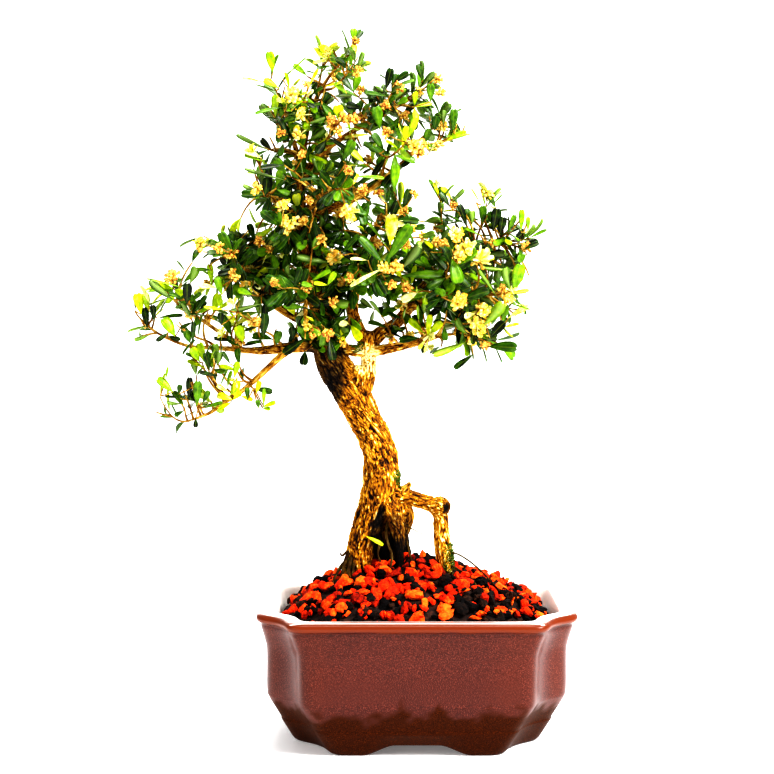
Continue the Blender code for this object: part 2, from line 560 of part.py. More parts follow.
def leaf_sections(leaf, grow=0.0, from_foot=False):
    """The four corners of each cross-section of a leaf, from near its foot to its blunt end.

    The midrib is the direction times s less the upper side times curl times s squared over the
    length; the blade turns about it by twist from foot to tip. Grow makes it stouter all round.
    """
    across_blade = np.cross(leaf["direction"], leaf["upper"])
    long = leaf["length"]
    shares = ((FOOT_SHARE, FOOT_WIDE), *LEAF_SECTIONS) if from_foot else LEAF_SECTIONS
    sections = []
    for share, wide in shares:
        s = share * long + (grow if share == 1.0 else 0.0)
        middle = leaf["foot"] + leaf["direction"] * s - leaf["upper"] * leaf["curl"] * s * s / long
        slope = 2 * leaf["curl"] * s / long
        normal = unit(leaf["upper"] + leaf["direction"] * slope)
        turn = leaf["twist"] * share
        wing = math.cos(turn) * across_blade + math.sin(turn) * normal
        normal = math.cos(turn) * normal - math.sin(turn) * across_blade
        half, thick = leaf["width"] * wide / 2 + grow, LEAF_THICK / 2 + grow
        sections.append([middle - wing * half - normal * thick, middle + wing * half - normal * thick,
                         middle + wing * half + normal * thick, middle - wing * half + normal * thick])
    return np.array(sections)


def blade_faces(rows):
    """Faces between sections of four corners each, top and bottom split along the same diagonal."""
    faces = []
    for low, high in zip(rows, rows[1:]):
        a, b, c, d = low
        e, f, g, h = high
        faces += [(a, b, f), (a, f, e), (d, h, g), (d, g, c), (b, c, g, f), (d, a, e, h)]
    faces.append(tuple(rows[-1]))
    return faces


def closed_bvh(sections):
    """A search tree of a leaf's skin."""
    rows = [tuple(range(4 * k, 4 * k + 4)) for k in range(len(sections))]
    faces = blade_faces(rows) + [rows[0][::-1]]
    return BVHTree.FromPolygons([Vector(p) for p in sections.reshape(-1, 3)], faces)


def clear_leaves(plans, wood):
    """Picks the leaves, tips first, that stay clear of the wood, the stems and each other."""
    wood_points = [v.co / MM - Vector((POT_X, POT_Y, 0)) for v in wood.data.vertices]
    wood_tree = BVHTree.FromPolygons(wood_points, [tuple(p.vertices) for p in wood.data.polygons])
    stems = {}
    for name, (corners, _) in plans.items():
        middle = corners.mean(axis=1, keepdims=True)
        stems[name] = closed_bvh(middle + (corners - middle) * STEM_CLEAR)
    placed = []
    kept = {name: [] for name in plans}
    queue = [(leaf["order"], name, leaf) for name, (_, leaves) in plans.items() for leaf in leaves]
    for _, name, leaf in sorted(queue, key=lambda row: row[0]):
        sections = leaf_sections(leaf, LEAF_CLEAR, True)
        low, high = sections.min(axis=(0, 1)), sections.max(axis=(0, 1))
        tree = closed_bvh(sections)
        if tree.overlap(wood_tree):
            continue
        if any(tree.overlap(stem) for other, stem in stems.items() if other != name):
            continue
        near = [row for row in placed if (row[0] <= high).all() and (row[1] >= low).all()]
        if any(tree.overlap(row[2]) for row in near):
            continue
        placed.append((low, high, closed_bvh(leaf_sections(leaf, from_foot=True))))
        kept[name].append(leaf)
    return kept


def make_spray(name, plan, leaves, green):
    """One leafy stem: a square stem with its leaves drawn out of its faces."""
    corners = plan[0]
    points = [tuple(p) for p in corners.reshape(-1, 3)]
    count = len(corners)
    drawn = {(leaf["ring"], leaf["face"]): leaf for leaf in leaves}
    faces = [(0, 1, 2, 3), tuple(4 * (count - 1) + j for j in range(4))]
    for k in range(count - 1):
        for face in range(4):
            i, j = (face + 3) % 4, face
            foot = (4 * k + i, 4 * k + j, 4 * (k + 1) + j, 4 * (k + 1) + i)
            leaf = drawn.get((k, face))
            if leaf is None:
                faces.append(foot)
                continue
            rows = [foot]
            for section in leaf_sections(leaf):
                order = match_corners(np.array([points[n] for n in rows[-1]]), section)
                rows.append(tuple(len(points) + n for n in range(4)))
                points += [tuple(section[n]) for n in order]
            faces += blade_faces(rows)
    return make_object("spray_" + name, points, faces, green)


def match_corners(before, after):
    """The order of the next four corners, round the same way, that keeps the sides shortest."""
    orders = [[(k + n * way) % 4 for n in range(4)] for k in range(4) for way in (1, -1)]
    return min(orders, key=lambda order: float(np.linalg.norm(after[order] - before, axis=1).sum()))


def main():
    for old in list(bpy.data.objects):
        bpy.data.objects.remove(old)
    glaze = make_material("glazed_stoneware", (0.18, 0.045, 0.026), 0.18)
    plastic = make_material("drain_mesh_plastic", (0.02, 0.02, 0.02), 0.6)
    earth = make_material("bonsai_soil", (0.05, 0.025, 0.012), 0.95)
    lava = make_material("lava_chips", (0.55, 0.09, 0.02), 0.9)
    bark = make_material("boxwood_bark", (0.45, 0.25, 0.06), 0.85)
    green = make_material("boxwood_leaf", (0.10, 0.20, 0.02), 0.4)
    make_pot(glaze)
    make_screen("drain_screen_left", -DRAIN_X, plastic)
    make_screen("drain_screen_right", DRAIN_X, plastic)
    make_soil(earth)
    make_dressing(lava)
    wood = make_wood(bark)
    plans = {name: spray_nodes(index, name) for index, name in enumerate(SPRAYS)}
    kept = clear_leaves(plans, wood)
    for name, plan in plans.items():
        make_spray(name, plan, kept[name], green)


main()
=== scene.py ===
"""A boxwood bonsai with a leaning, furrowed trunk and a stilt root, in a glazed oblong pot.

Lengths are millimetres from the middle of the pot's foot, x to the right, y to the back and z up,
until a mesh is made. The sections follow the making: pot, drain screens, soil, wood, lava, twigs,
leaves, flowers, roots and moss, and then the studio.
"""

import json
import math
from collections import namedtuple

import bpy
import numpy as np
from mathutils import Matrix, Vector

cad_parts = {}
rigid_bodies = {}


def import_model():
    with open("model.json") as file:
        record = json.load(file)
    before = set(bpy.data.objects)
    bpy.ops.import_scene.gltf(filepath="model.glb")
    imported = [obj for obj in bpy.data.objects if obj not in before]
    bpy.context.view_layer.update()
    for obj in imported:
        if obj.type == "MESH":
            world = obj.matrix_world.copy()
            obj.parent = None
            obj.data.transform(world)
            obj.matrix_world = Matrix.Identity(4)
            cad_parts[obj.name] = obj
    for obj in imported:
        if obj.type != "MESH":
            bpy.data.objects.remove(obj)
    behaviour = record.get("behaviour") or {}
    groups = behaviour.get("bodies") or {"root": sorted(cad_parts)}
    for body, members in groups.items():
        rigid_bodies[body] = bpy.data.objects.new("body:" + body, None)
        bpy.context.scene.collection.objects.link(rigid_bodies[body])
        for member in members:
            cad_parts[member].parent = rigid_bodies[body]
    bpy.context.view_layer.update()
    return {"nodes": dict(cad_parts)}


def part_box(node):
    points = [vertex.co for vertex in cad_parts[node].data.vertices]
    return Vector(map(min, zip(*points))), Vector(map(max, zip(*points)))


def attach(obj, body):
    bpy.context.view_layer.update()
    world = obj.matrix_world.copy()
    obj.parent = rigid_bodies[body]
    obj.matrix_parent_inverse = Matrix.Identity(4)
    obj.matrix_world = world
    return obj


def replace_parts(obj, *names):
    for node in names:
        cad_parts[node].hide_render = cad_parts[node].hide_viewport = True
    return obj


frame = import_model()

# Pot
# One piece of stoneware, oblong with hollow corners and four low feet. It is dipped in a mauve-brown
# glaze that breaks to orange where it runs thin, over a dark brown first coat at the foot. Its hollow
# and the top of its lip at the back and sides are painted nearly white, a painted glare, and a thin
# painted highlight line runs along the front of the lip.
MM = 0.001
pot_low, pot_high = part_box("pot")
ORIGIN = np.array([(pot_low.x + pot_high.x) / 2, (pot_low.y + pot_high.y) / 2, pot_low.z]) / MM
POT_DEPTH_LESS = 19.0
OUTER_PROFILE = [               # height, half length of the outside
    (0.0, 69.2), (1.6, 71.0), (7.0, 73.8), (13.4, 77.0), (14.6, 77.4), (16.2, 77.8), (21.4, 80.4),
    (28.3, 83.8), (34.0, 85.0), (55.0, 84.9), (62.5, 86.0), (69.4, 87.8), (71.8, 88.0), (72.8, 88.5),
    (73.7, 89.8), (75.2, 90.4), (76.7, 90.0), (77.8, 88.6), (78.4, 86.2),
]
INNER_PROFILE = [               # height, half length of the hollow, down to its floor
    (78.4, 82.4), (77.0, 80.8), (69.0, 79.4), (55.0, 77.4), (34.0, 77.0), (15.0, 69.0),
]
RIM_HEIGHT = OUTER_PROFILE[-1][0]
UNDER_PROFILE = [               # height, half length and inset of the recess underneath, from its middle out
    (8.0, 50.0, 2.5), (8.0, 54.0, 2.5), (2.0, 55.0, 2.5), (0.3, 56.2, 0.0),
]
LEVEL_RINGS = 2                 # of the recess, which the arches between the feet leave as they are
FLOOR_TOP = INNER_PROFILE[-1][0]
CORNER_CUT_TOP, CORNER_CUT_FOOT, CORNER_LONGER = 19.0, 22.5, 8.0
CORNER_SAG, CORNER_BLUNT = 5.0, 0.09
CORNER_SHARES = np.linspace(0.08, 0.92, 13)[:, None]    # places along the chord of a corner's bite
HOLLOW_INSET = 2.5
OUTLINE_POINTS, OUTLINE_SOFTENED = 264, 5       # points round the pot, and rounds of averaging
FOOT_ARCH_HEIGHT, FOOT_BAND = 5.7, 13.4
FOOT_ARCH_LONG, FOOT_ARCH_SHORT = (31.0, 12.0), (19.0, 7.0)     # half width of the arch, and its crown's
SIDES_MEET = 13.0               # x less y of the line that parts a long side from a short one
DRAIN_X, DRAIN_RADIUS, DRAIN_SIDES = 32.0, 8.0, 48
SHARP_EDGE = 38.0               # degrees
CUSP_SPREAD, CUSP_FULL = 60, 0.9        # rounds of averaging, and how far an edge in full stands out
CUSP_FROM, CUSP_PALER = 8.0, 0.12       # height from which edges count, and how much paler one is, partly thin glaze and partly painted highlight
LIP_THINS, LIP_SOFT = 72.9, 1.2
FIRST_COAT_TOP, FIRST_COAT_WAVE, FIRST_COAT_SOFT = 28.0, 5.0, 5.0
GLAZE_DRIPS = [                 # middle along x, width, height, front -1 or back 1
    (12.0, 5.0, 11.0, -1), (-9.0, 3.0, 7.0, -1), (-41.0, 9.0, 6.0, 1), (30.0, 4.0, 8.0, 1),
]
LIP_TOP, LIP_TOP_SOFT = 77.9, 0.3       # height over which the lip's top at the back and sides has painted glare
FRONT_FROM, FRONT_SOFT = 62.0, 3.0      # depth where the front of the lip begins, and its border
HIGHLIGHT_LINE_DEPTH, HIGHLIGHT_LINE_WIDTH, FRONT_GLAZED_RINGS = 68.2, 0.55, 3   # the painted highlight line in front, and rings inside in front that stay glazed
HIGHLIGHT_LINE_FROM = 77.0


def unit(vectors):
    """Each vector over its own length."""
    return vectors / np.linalg.norm(vectors, axis=-1, keepdims=True)


def noise(points, seed=0):
    """Smooth random heights from -1 to 1 over space.

    A point blends the random values of the eight corners of its unit cube, each weighted by
    3t² - 2t³ of the distance t along each axis.
    """
    cell = np.floor(points).astype(np.int64)
    t = points - cell
    t = t * t * (3 - 2 * t)
    total = np.zeros(points.shape[:-1])
    for corner in np.ndindex(2, 2, 2):
        key = ((cell + corner) * (374761393, 668265263, 1103515245)).sum(axis=-1) + seed * 40503
        key = key & 0xFFFFFFFF
        key = ((key ^ (key >> 13)) * 1274126177) & 0xFFFFFFFF
        key = key ^ (key >> 16)
        total += np.prod(np.where(corner, t, 1 - t), axis=-1) * (key / 2.0 ** 31 - 1)
    return total


def smooth_path(points, steps):
    """A Catmull-Rom curve through rows of numbers, with so many steps from each row to the next."""
    rows = np.array(points, float)
    rows = np.vstack([2 * rows[0] - rows[1], rows, 2 * rows[-1] - rows[-2]])
    t = np.linspace(0.0, 1.0, steps, endpoint=False)[:, None]
    spans = []
    for a, b, c, d in zip(rows, rows[1:], rows[2:], rows[3:]):
        spans.append(0.5 * (2 * b + (c - a) * t + (2 * a - 5 * b + 4 * c - d) * t ** 2
                            + (3 * b - a - 3 * c + d) * t ** 3))
    return np.vstack(spans + [rows[-2:-1]])


def ring_faces(rings, sides):
    """Quads between rings that follow each other, and a cap at each end."""
    low = np.arange((rings - 1) * sides).reshape(rings - 1, sides)
    turned = np.roll(low, -1, axis=1)
    quads = np.stack([low, turned, turned + sides, low + sides], axis=-1).reshape(-1, 4)
    last = (rings - 1) * sides
    return quads.tolist() + [list(range(sides))[::-1], list(range(last, last + sides))]


def softened(ring, rounds):
    """A closed ring of points, each averaged so many times with its neighbours by weights 1, 2, 1."""
    for _ in range(rounds):
        ring = (np.roll(ring, 1, axis=0) + 2 * ring + np.roll(ring, -1, axis=0)) / 4
    return ring


def store_fields(mesh, fields):
    """Gives a mesh attributes with a number or a vector for each point."""
    for field, values in fields.items():
        values = np.asarray(values, np.float32)
        if values.shape == (len(mesh.vertices), 3):
            mesh.attributes.new(field, "FLOAT_VECTOR", "POINT").data.foreach_set("vector", values.ravel())
        else:
            mesh.attributes.new(field, "FLOAT", "POINT").data.foreach_set("value", values.ravel())


def make_piece(name, points, faces, material, slot, smooth=True, **fields):
    """A mesh from points in millimetres, with fields as store_fields takes them."""
    mesh = bpy.data.meshes.new(name)
    place = (np.asarray(points, float).reshape(-1, 3) + ORIGIN) * MM
    mesh.from_pydata(place, [], faces)
    if smooth:
        mesh.shade_smooth()
    else:
        mesh.shade_flat()
    store_fields(mesh, fields)
    mesh.materials.append(material)
    piece = bpy.data.objects.new(name, mesh)
    bpy.context.scene.collection.objects.link(piece)
    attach(piece, "root")
    return piece


def srgb(text):
    """A linear colour from an sRGB hex value."""
    value = np.array([int(text[i:i + 2], 16) for i in (1, 3, 5)]) / 255
    linear = np.where(value <= 0.04045, value / 12.92, ((value + 0.055) / 1.055) ** 2.4)
    return (*linear.tolist(), 1.0)


def plug(node, links):
    """Gives a node's inputs, by name or number, a value, a hex colour or what another node gives.

    A node in the place of a value stands for the first of its outputs that is in use.
    """
    for name, value in links.items():
        socket = node.inputs[name] if isinstance(name, int) else [
            socket for socket in node.inputs if socket.name == name and socket.enabled][0]
        if isinstance(value, bpy.types.Node):
            value = [output for output in value.outputs if output.enabled][0]
        if isinstance(value, bpy.types.NodeSocket):
            node.id_data.links.new(value, socket)
        else:
            socket.default_value = srgb(value) if isinstance(value, str) else value


def add(tree, kind, links=None, stops=None, **settings):
    """Adds a node, with links as plug takes them, and stops of a position and colour for a ramp."""
    node = tree.nodes.new("ShaderNode" + kind)
    for name, value in settings.items():
        setattr(node, name, value)
    plug(node, links or {})
    if stops:
        ramp = node.color_ramp.elements
        while len(ramp) < len(stops):
            ramp.new(1.0)
        for element, (position, colour) in zip(ramp, stops):
            element.position = position
            element.color = srgb(colour)
    return node


def new_material(name, links):
    """A Principled material, its node tree and its shader, with links as plug takes them."""
    material = bpy.data.materials.new(name)
    material.use_nodes = True
    tree = material.node_tree
    shader = tree.nodes["Principled BSDF"]
    plug(shader, links)
    return material, tree, shader


def pot_outline(half_length, height, inwards=0.0):
    """One level outline, an oblong whose corners are bitten out by a shallow arc.

    The bite's chord runs from one side to the next and bows inwards by 4 sag s (1 - s) at a share s.
    The outline is then spaced evenly along its length and each point averaged with its neighbours.
    """
    half_depth = half_length - POT_DEPTH_LESS
    cut = CORNER_CUT_FOOT + (CORNER_CUT_TOP - CORNER_CUT_FOOT) * height / RIM_HEIGHT - inwards
    start = np.array([half_length, half_depth - cut - CORNER_LONGER])
    end = np.array([half_length - cut, half_depth])
    bow = unit(np.array([start[1] - end[1], end[0] - start[0]])) * CORNER_SAG
    arc = start + (end - start) * CORNER_SHARES + bow * 4 * CORNER_SHARES * (1 - CORNER_SHARES)
    blunt = CORNER_BLUNT * np.linalg.norm(end - start)
    corner = np.vstack([start - (0, blunt), arc, end - (blunt, 0)])
    plan = np.vstack([corner, corner[::-1] * (-1, 1), -corner, corner[::-1] * (1, -1)])
    plan = np.vstack([plan, plan[:1]])
    length = np.concatenate([[0], np.cumsum(np.linalg.norm(np.diff(plan, axis=0), axis=1))])
    even = np.linspace(0, length[-1], OUTLINE_POINTS, endpoint=False)
    plan = np.column_stack([np.interp(even, length, plan[:, axis]) for axis in (0, 1)])
    return np.column_stack([softened(plan, OUTLINE_SOFTENED), np.full(OUTLINE_POINTS, height)])


def raise_between_feet(rings):
    """Lifts the foot's lower edge into an arch in the middle of each side.

    The arch is 0 at its half width and full inside its crown, eased by 3t² - 2t³, and everything
    below the foot band is squeezed towards the band in proportion.
    """
    x, y, z = rings[..., 0], rings[..., 1], rings[..., 2]
    long_side = np.abs(x) - np.abs(y) < SIDES_MEET
    t = np.where(long_side, (FOOT_ARCH_LONG[0] - np.abs(x)) / (FOOT_ARCH_LONG[0] - FOOT_ARCH_LONG[1]),
                 (FOOT_ARCH_SHORT[0] - np.abs(y)) / (FOOT_ARCH_SHORT[0] - FOOT_ARCH_SHORT[1]))
    t = np.clip(t, 0, 1)
    arch = FOOT_ARCH_HEIGHT * t * t * (3 - 2 * t)
    squeezed = arch + z * (FOOT_BAND - arch) / FOOT_BAND
    rings[..., 2] = np.where(z < FOOT_BAND, squeezed, z)


def glaze_fields(rings, hollow_rings):
    """How thin the glaze is, how much of the first coat shows, and where painted glare whitens the pot.

    Painted glare covers the hollow, which is so many of the last rings, and the top of the lip at the
    back and sides. In front it is only a thin line along the lip's edge, a painted highlight, and a few
    rings at the top of the hollow stay glazed. Glaze is thin on the lip. Edges that stand out of the
    outline are a little paler, partly thin glaze and partly painted highlight. The first coat begins at
    a ragged border, drawn up by a bell curve at each drip.
    """
    x, y, z = rings[..., 0], rings[..., 1], rings[..., 2]
    level = rings[len(rings) // 2]
    stands_out = ((level - softened(level, CUSP_SPREAD)) * unit(level * (1, 1, 0))).sum(axis=1)
    cusp_glaze_and_sheen = np.clip(stands_out / CUSP_FULL, 0, 1)
    patch = noise(rings / 9, 3)
    lip = np.clip((z - LIP_THINS + patch * 0.7) / LIP_SOFT, 0, 1)
    thin = np.clip(lip * 0.95 + CUSP_PALER * cusp_glaze_and_sheen * (z > CUSP_FROM), 0, 1)
    border = FIRST_COAT_TOP + FIRST_COAT_WAVE * noise(np.stack([x / 14, y / 14, 0 * z], axis=-1), 5)
    for middle, width, height, side in GLAZE_DRIPS:
        border += height * np.exp(-((x - middle) / width) ** 2) * (y * side > 0)
    ragged = 3.6 * noise(rings / 5.5, 6) + 2.2 * noise(rings / 2.2, 7)
    coat = np.clip((border + ragged - z) / FIRST_COAT_SOFT, 0, 1)
    ring = np.arange(len(rings))[:, None]
    lip_top_glare = (ring > len(rings) / 2) * np.clip((z - LIP_TOP + 0.2 * patch) / LIP_TOP_SOFT, 0, 1)
    in_front = np.clip((-y - FRONT_FROM) / FRONT_SOFT, 0, 1)
    lip_highlight_line = (z > HIGHLIGHT_LINE_FROM) * np.exp(-((-y - HIGHLIGHT_LINE_DEPTH) / HIGHLIGHT_LINE_WIDTH) ** 2)
    lip_top_glare += in_front * (lip_highlight_line - lip_top_glare)
    painted_glare_mask = np.maximum(ring >= len(rings) - hollow_rings + FRONT_GLAZED_RINGS * (in_front > 0), lip_top_glare)
    return {"thin_glaze_and_sheen": thin, "first_coat": coat, "painted_glare": painted_glare_mask}


# Stoneware glaze: glassy and slightly uneven, dipped and fired, so the eye sees soft broad highlights,
# orange where it is thin on the lip, edges a little paler as thin glaze and painted highlight, and an
# iron speckle, drawn coarser than its fine grains to show. Near-white painted glare lies on the hollow
# and the lip's top, with a painted highlight line along the front of the lip.
SPECKLE, CLOUDS = 0.55, 30.0
glaze, tree, shader = new_material("dipped_stoneware_glaze", {
    "IOR": 1.42, "Coat Weight": 0.05, "Coat Roughness": 0.10})
place = add(tree, "TexCoord").outputs["Object"]
cloud = add(tree, "TexNoise", {"Vector": place, "Scale": 1 / (CLOUDS * MM), "Detail": 3.0})
body = add(tree, "ValToRGB", {"Fac": cloud}, [(0.30, "#4d1c11"), (0.52, "#521f13"), (0.72, "#572216")])
fleck = add(tree, "TexNoise", {"Vector": place, "Scale": 1 / (SPECKLE * MM), "Detail": 2.0})
iron = add(tree, "MapRange", {"Value": fleck, "From Min": 0.48, "From Max": 0.64, "To Max": 0.9})
pale = add(tree, "MapRange", {"Value": fleck, "From Min": 0.46, "From Max": 0.30, "To Max": 0.9})
speckled = add(tree, "Mix", {"Factor": iron, "A": body, "B": "#36130b"}, data_type="RGBA")
speckled = add(tree, "Mix", {"Factor": pale, "A": speckled, "B": "#7c4033"}, data_type="RGBA")
# Orange where the glaze runs thin on the lip, and a little on standing edges as a painted highlight.
thin = add(tree, "Attribute", attribute_name="thin_glaze_and_sheen").outputs["Fac"]
speckled = add(tree, "Mix", {"Factor": thin, "A": speckled, "B": "#71300f"}, data_type="RGBA")
first = add(tree, "ValToRGB", {"Fac": fleck}, [(0.30, "#281000"), (0.55, "#441d02"), (0.75, "#683208")])
under = add(tree, "Attribute", attribute_name="first_coat").outputs["Fac"]
dulled = add(tree, "MapRange", {"Value": under, "To Min": 0.34, "To Max": 0.10})
rougher = add(tree, "MapRange", {"Value": under, "To Min": 0.30, "To Max": 0.50})
dipped = add(tree, "Mix", {"Factor": under, "A": speckled, "B": first}, data_type="RGBA")
# Painted glare: near white on the hollow and the lip's top, and a painted highlight line along the front.
glare_share = add(tree, "Attribute", attribute_name="painted_glare").outputs["Fac"]
glaze_and_glare = add(tree, "Mix", {"Factor": glare_share, "A": dipped, "B": "#fdfaf4"}, data_type="RGBA")
ripple = add(tree, "Bump", {"Height": fleck, "Strength": 0.12, "Distance": 0.15 * MM})
plug(shader, {"Base Color": glaze_and_glare, "Roughness": rougher, "Specular IOR Level": dulled, "Normal": ripple})

under_rings = [pot_outline(half, z, inset) for z, half, inset in UNDER_PROFILE]
outer_rings = [pot_outline(half, z) for z, half in smooth_path(OUTER_PROFILE, 5)]
inner_rings = [pot_outline(half, z, HOLLOW_INSET) for z, half in smooth_path(INNER_PROFILE, 5)]
pot_rings = np.array(under_rings + outer_rings + inner_rings)
raise_between_feet(pot_rings[LEVEL_RINGS:-len(inner_rings)])
pot = make_piece("pot_body", pot_rings, ring_faces(len(pot_rings), OUTLINE_POINTS), glaze,
                 "glazed_stoneware", **glaze_fields(pot_rings, len(inner_rings)))
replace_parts(pot, "pot")

# The drain holes are cut through the floor by two drills, which are then taken away.
drills = bpy.data.collections.new("drills")
bpy.context.scene.collection.children.link(drills)
turn = np.linspace(0, 2 * math.pi, DRAIN_SIDES, endpoint=False)
for x in (-DRAIN_X, DRAIN_X):
    circle = np.column_stack([x + DRAIN_RADIUS * np.cos(turn), DRAIN_RADIUS * np.sin(turn), 0 * turn])
    mesh = bpy.data.meshes.new("drill")
    drill_points = np.vstack([circle, circle + (0, 0, FLOOR_TOP + 5)])
    mesh.from_pydata((drill_points + ORIGIN) * MM, [], ring_faces(2, DRAIN_SIDES))
    drills.objects.link(bpy.data.objects.new("drill", mesh))
bore = pot.modifiers.new("drain_holes", "BOOLEAN")
bore.operation = "DIFFERENCE"
bore.operand_type = "COLLECTION"
bore.collection = drills
drilled = bpy.data.meshes.new_from_object(pot.evaluated_get(bpy.context.evaluated_depsgraph_get()))
pot.modifiers.clear()
pot.data = drilled
for drill in list(drills.objects):
    bpy.data.objects.remove(drill)
bpy.data.collections.remove(drills)
pot.data.set_sharp_from_angle(angle=math.radians(SHARP_EDGE))

# Drain screens
# Two squares of black polyethylene mesh, cut from a sheet and laid over the drain holes before the
# soil goes in. The nodes keep their shape.
PLASTIC_GRAIN = 0.8
plastic, tree, shader = new_material("extruded_polyethylene_mesh", {"Roughness": 0.45, "IOR": 1.5})
place = add(tree, "TexCoord").outputs["Object"]
grain = add(tree, "TexNoise", {"Vector": place, "Scale": 1 / (PLASTIC_GRAIN * MM), "Detail": 3.0})
plug(shader, {"Base Color": add(tree, "ValToRGB", {"Fac": grain}, [(0.3, "#141414"), (0.7, "#2b2b2b")])})
for node in ("drain_screen_left", "drain_screen_right"):
    screen = frame["nodes"][node]
    screen.material_slots[0].material = plastic

# Soil
# A peaty mix with grit, pressed round the roots until it fills the pot. The node keeps its shape, and
# a loose bed of the same soil lies on it, where it shows between the chips.
GRIT, SOIL_BLOTCH = 1.6, 4.0
MOUND_EDGE, MOUND_PEAK, MOUND_SHIFT, DRESSING_THICK = 69.5, 99.0, -8.0, 4.5
HEAP_CORNER_CLEAR, BED_SINK, BED_RINGS, BED_SIDES = 2.5, 2.2, 70, 180
PILE_MIDDLE, PILE_SPREAD, PILE_MORE = (0.0, -3.0), 13.0, 5.0
HEAP_HALF = float(np.interp(MOUND_EDGE - DRESSING_THICK, *zip(*INNER_PROFILE[::-1]))) - 0.5
heap_outline = pot_outline(HEAP_HALF, RIM_HEIGHT, HOLLOW_INSET - HEAP_CORNER_CLEAR)[:, :2]
earth, tree, shader = new_material("peat_and_grit", {"Roughness": 0.95})
place = add(tree, "TexCoord").outputs["Object"]
grain = add(tree, "TexVoronoi", {"Vector": place, "Scale": 1 / (GRIT * MM)})
tint = add(tree, "TexNoise", {"Vector": place, "Scale": 1 / (SOIL_BLOTCH * MM), "Detail": 4.0})
shade = add(tree, "ValToRGB", {"Fac": tint}, [(0.30, "#120a07"), (0.52, "#2a1811"), (0.72, "#4d3020")])
crumb = add(tree, "Bump", {"Height": grain, "Strength": 0.8, "Distance": 0.6 * MM})
plug(shader, {"Base Color": shade, "Normal": crumb})
soil = frame["nodes"]["soil"]
soil.material_slots[0].material = earth


def heap_point(share, place_round, lift=0.0):
    """A point on the heap: the hollow's outline at a place round it, shrunk to a share.

    Its middle moves with the shift and it rises to the peak by 1 - share². A little pile between the
    legs adds a bell curve.
    """
    index = np.mod(place_round, 1.0) * OUTLINE_POINTS
    wrapped = np.vstack([heap_outline, heap_outline[:1]])
    number = np.arange(OUTLINE_POINTS + 1)
    plan = np.stack([np.interp(index, number, wrapped[:, axis]) for axis in (0, 1)], axis=-1)
    plan = plan * share[..., None]
    plan[..., 0] += MOUND_SHIFT * (1 - share)
    piled = np.exp(-((plan - PILE_MIDDLE) ** 2).sum(axis=-1) / PILE_SPREAD ** 2)
    height = MOUND_EDGE + (MOUND_PEAK - MOUND_EDGE) * (1 - share ** 2) + PILE_MORE * piled + lift
    return np.concatenate([plan, height[..., None]], axis=-1)


bed_share, bed_round = np.meshgrid(np.linspace(1.0, 0.02, BED_RINGS),
                                   np.linspace(0, 1, BED_SIDES, endpoint=False), indexing="ij")
bed_top = heap_point(bed_share, bed_round, -BED_SINK)
bed_top[1:, :, 2] += (0.9 * noise(bed_top / 3.1, 11) + 0.6 * noise(bed_top / 1.4, 12))[1:]
bed_under = heap_point(bed_share[::-6], bed_round[::-6], -DRESSING_THICK)
bed = np.concatenate([bed_under, bed_top])
make_piece("soil_bed", bed, ring_faces(len(bed), bed.shape[1]), earth, "bonsai_soil")

# Wood
# Trunk, legs, arched root, stubs and branches of one living boxwood, grown together. The corky bark is
# golden ochre and split into long plates by dark furrows; thin branches are smoother and browner.
TRUNK = [                       # x, y, z and radius, here and below
    (-35.4, 1, 67, 7.2), (-35.0, 1, 84, 7.4), (-33.8, 0, 97, 7.9), (-31.8, 0, 110, 8.0),
    (-27.6, 0, 124, 9.0), (-22.8, 0, 136, 10.4), (-20.0, 0, 147, 10.8), (-20.2, 0, 159, 9.9),
    (-23.6, 0, 172, 9.7), (-30.4, 0, 185, 9.9), (-37.0, 0, 198, 10.4), (-44.2, 0, 210, 9.6),
    (-50.0, 0, 220, 8.8), (-51.0, 0, 229, 8.0), (-52.0, 0, 239, 6.8),
]
LEADER = [
    (-50.4, 0, 229, 7.4), (-52.2, 0, 240, 6.4), (-57.0, 0, 253, 5.4), (-62.5, 0, 273, 4.5),
    (-66.0, 0, 296, 3.7), (-66.6, 0, 320, 3.0), (-64.0, 0, 344, 2.3), (-58.0, -1, 365, 1.8),
    (-50.0, -2, 379, 1.4), (-43.0, -3, 387, 1.0),
]
BACK_LEG = [(-5.5, 11, 67, 5.2), (-6.5, 11, 86, 5.3), (-8, 10, 101, 5.6), (-11, 7, 116, 6.2),
            (-15, 4, 130, 6.8), (-19, 1, 143, 7.2)]
FLAP_ROOT = [(-9.5, -9, 72, 2.0), (-9.5, -9, 90, 2.0), (-9.5, -8, 106, 2.6), (-10, -7, 118, 3.8),
             (-13, -6, 129, 5.0), (-17, -3, 140, 6.0)]
ARCH_ROOT = [(18.2, -3, 67, 4.8), (18.0, -3, 84, 4.9), (17.2, -3, 97, 5.1), (15.9, -3, 109, 4.9),
             (14.6, -3, 120, 4.7), (14.0, -3, 127.5, 4.6), (10.6, -3, 133.4, 4.7), (3.0, -3, 136.6, 4.4),
             (-5.0, -2, 138.8, 4.8), (-13.0, -1, 140, 6.4)]
STUBS = [
    [(9.0, -3, 135, 3.6), (12.4, -4.0, 134.0, 5.5), (15.0, -5.4, 133.4, 5.5), (17.8, -8.0, 132.6, 3.9)],
    [(-10.0, -3, 140, 3.2), (-6.0, -4, 144, 2.4), (-3.0, -4.6, 147, 1.7)],
    [(-36.5, -3, 198, 6.0), (-33.0, -4.4, 208, 4.8), (-31.6, -5, 214.5, 3.4)],
    [(-28.0, -3, 224, 3.6), (-27.2, -5, 230, 3.4), (-26.6, -6, 234.6, 2.6)],
]
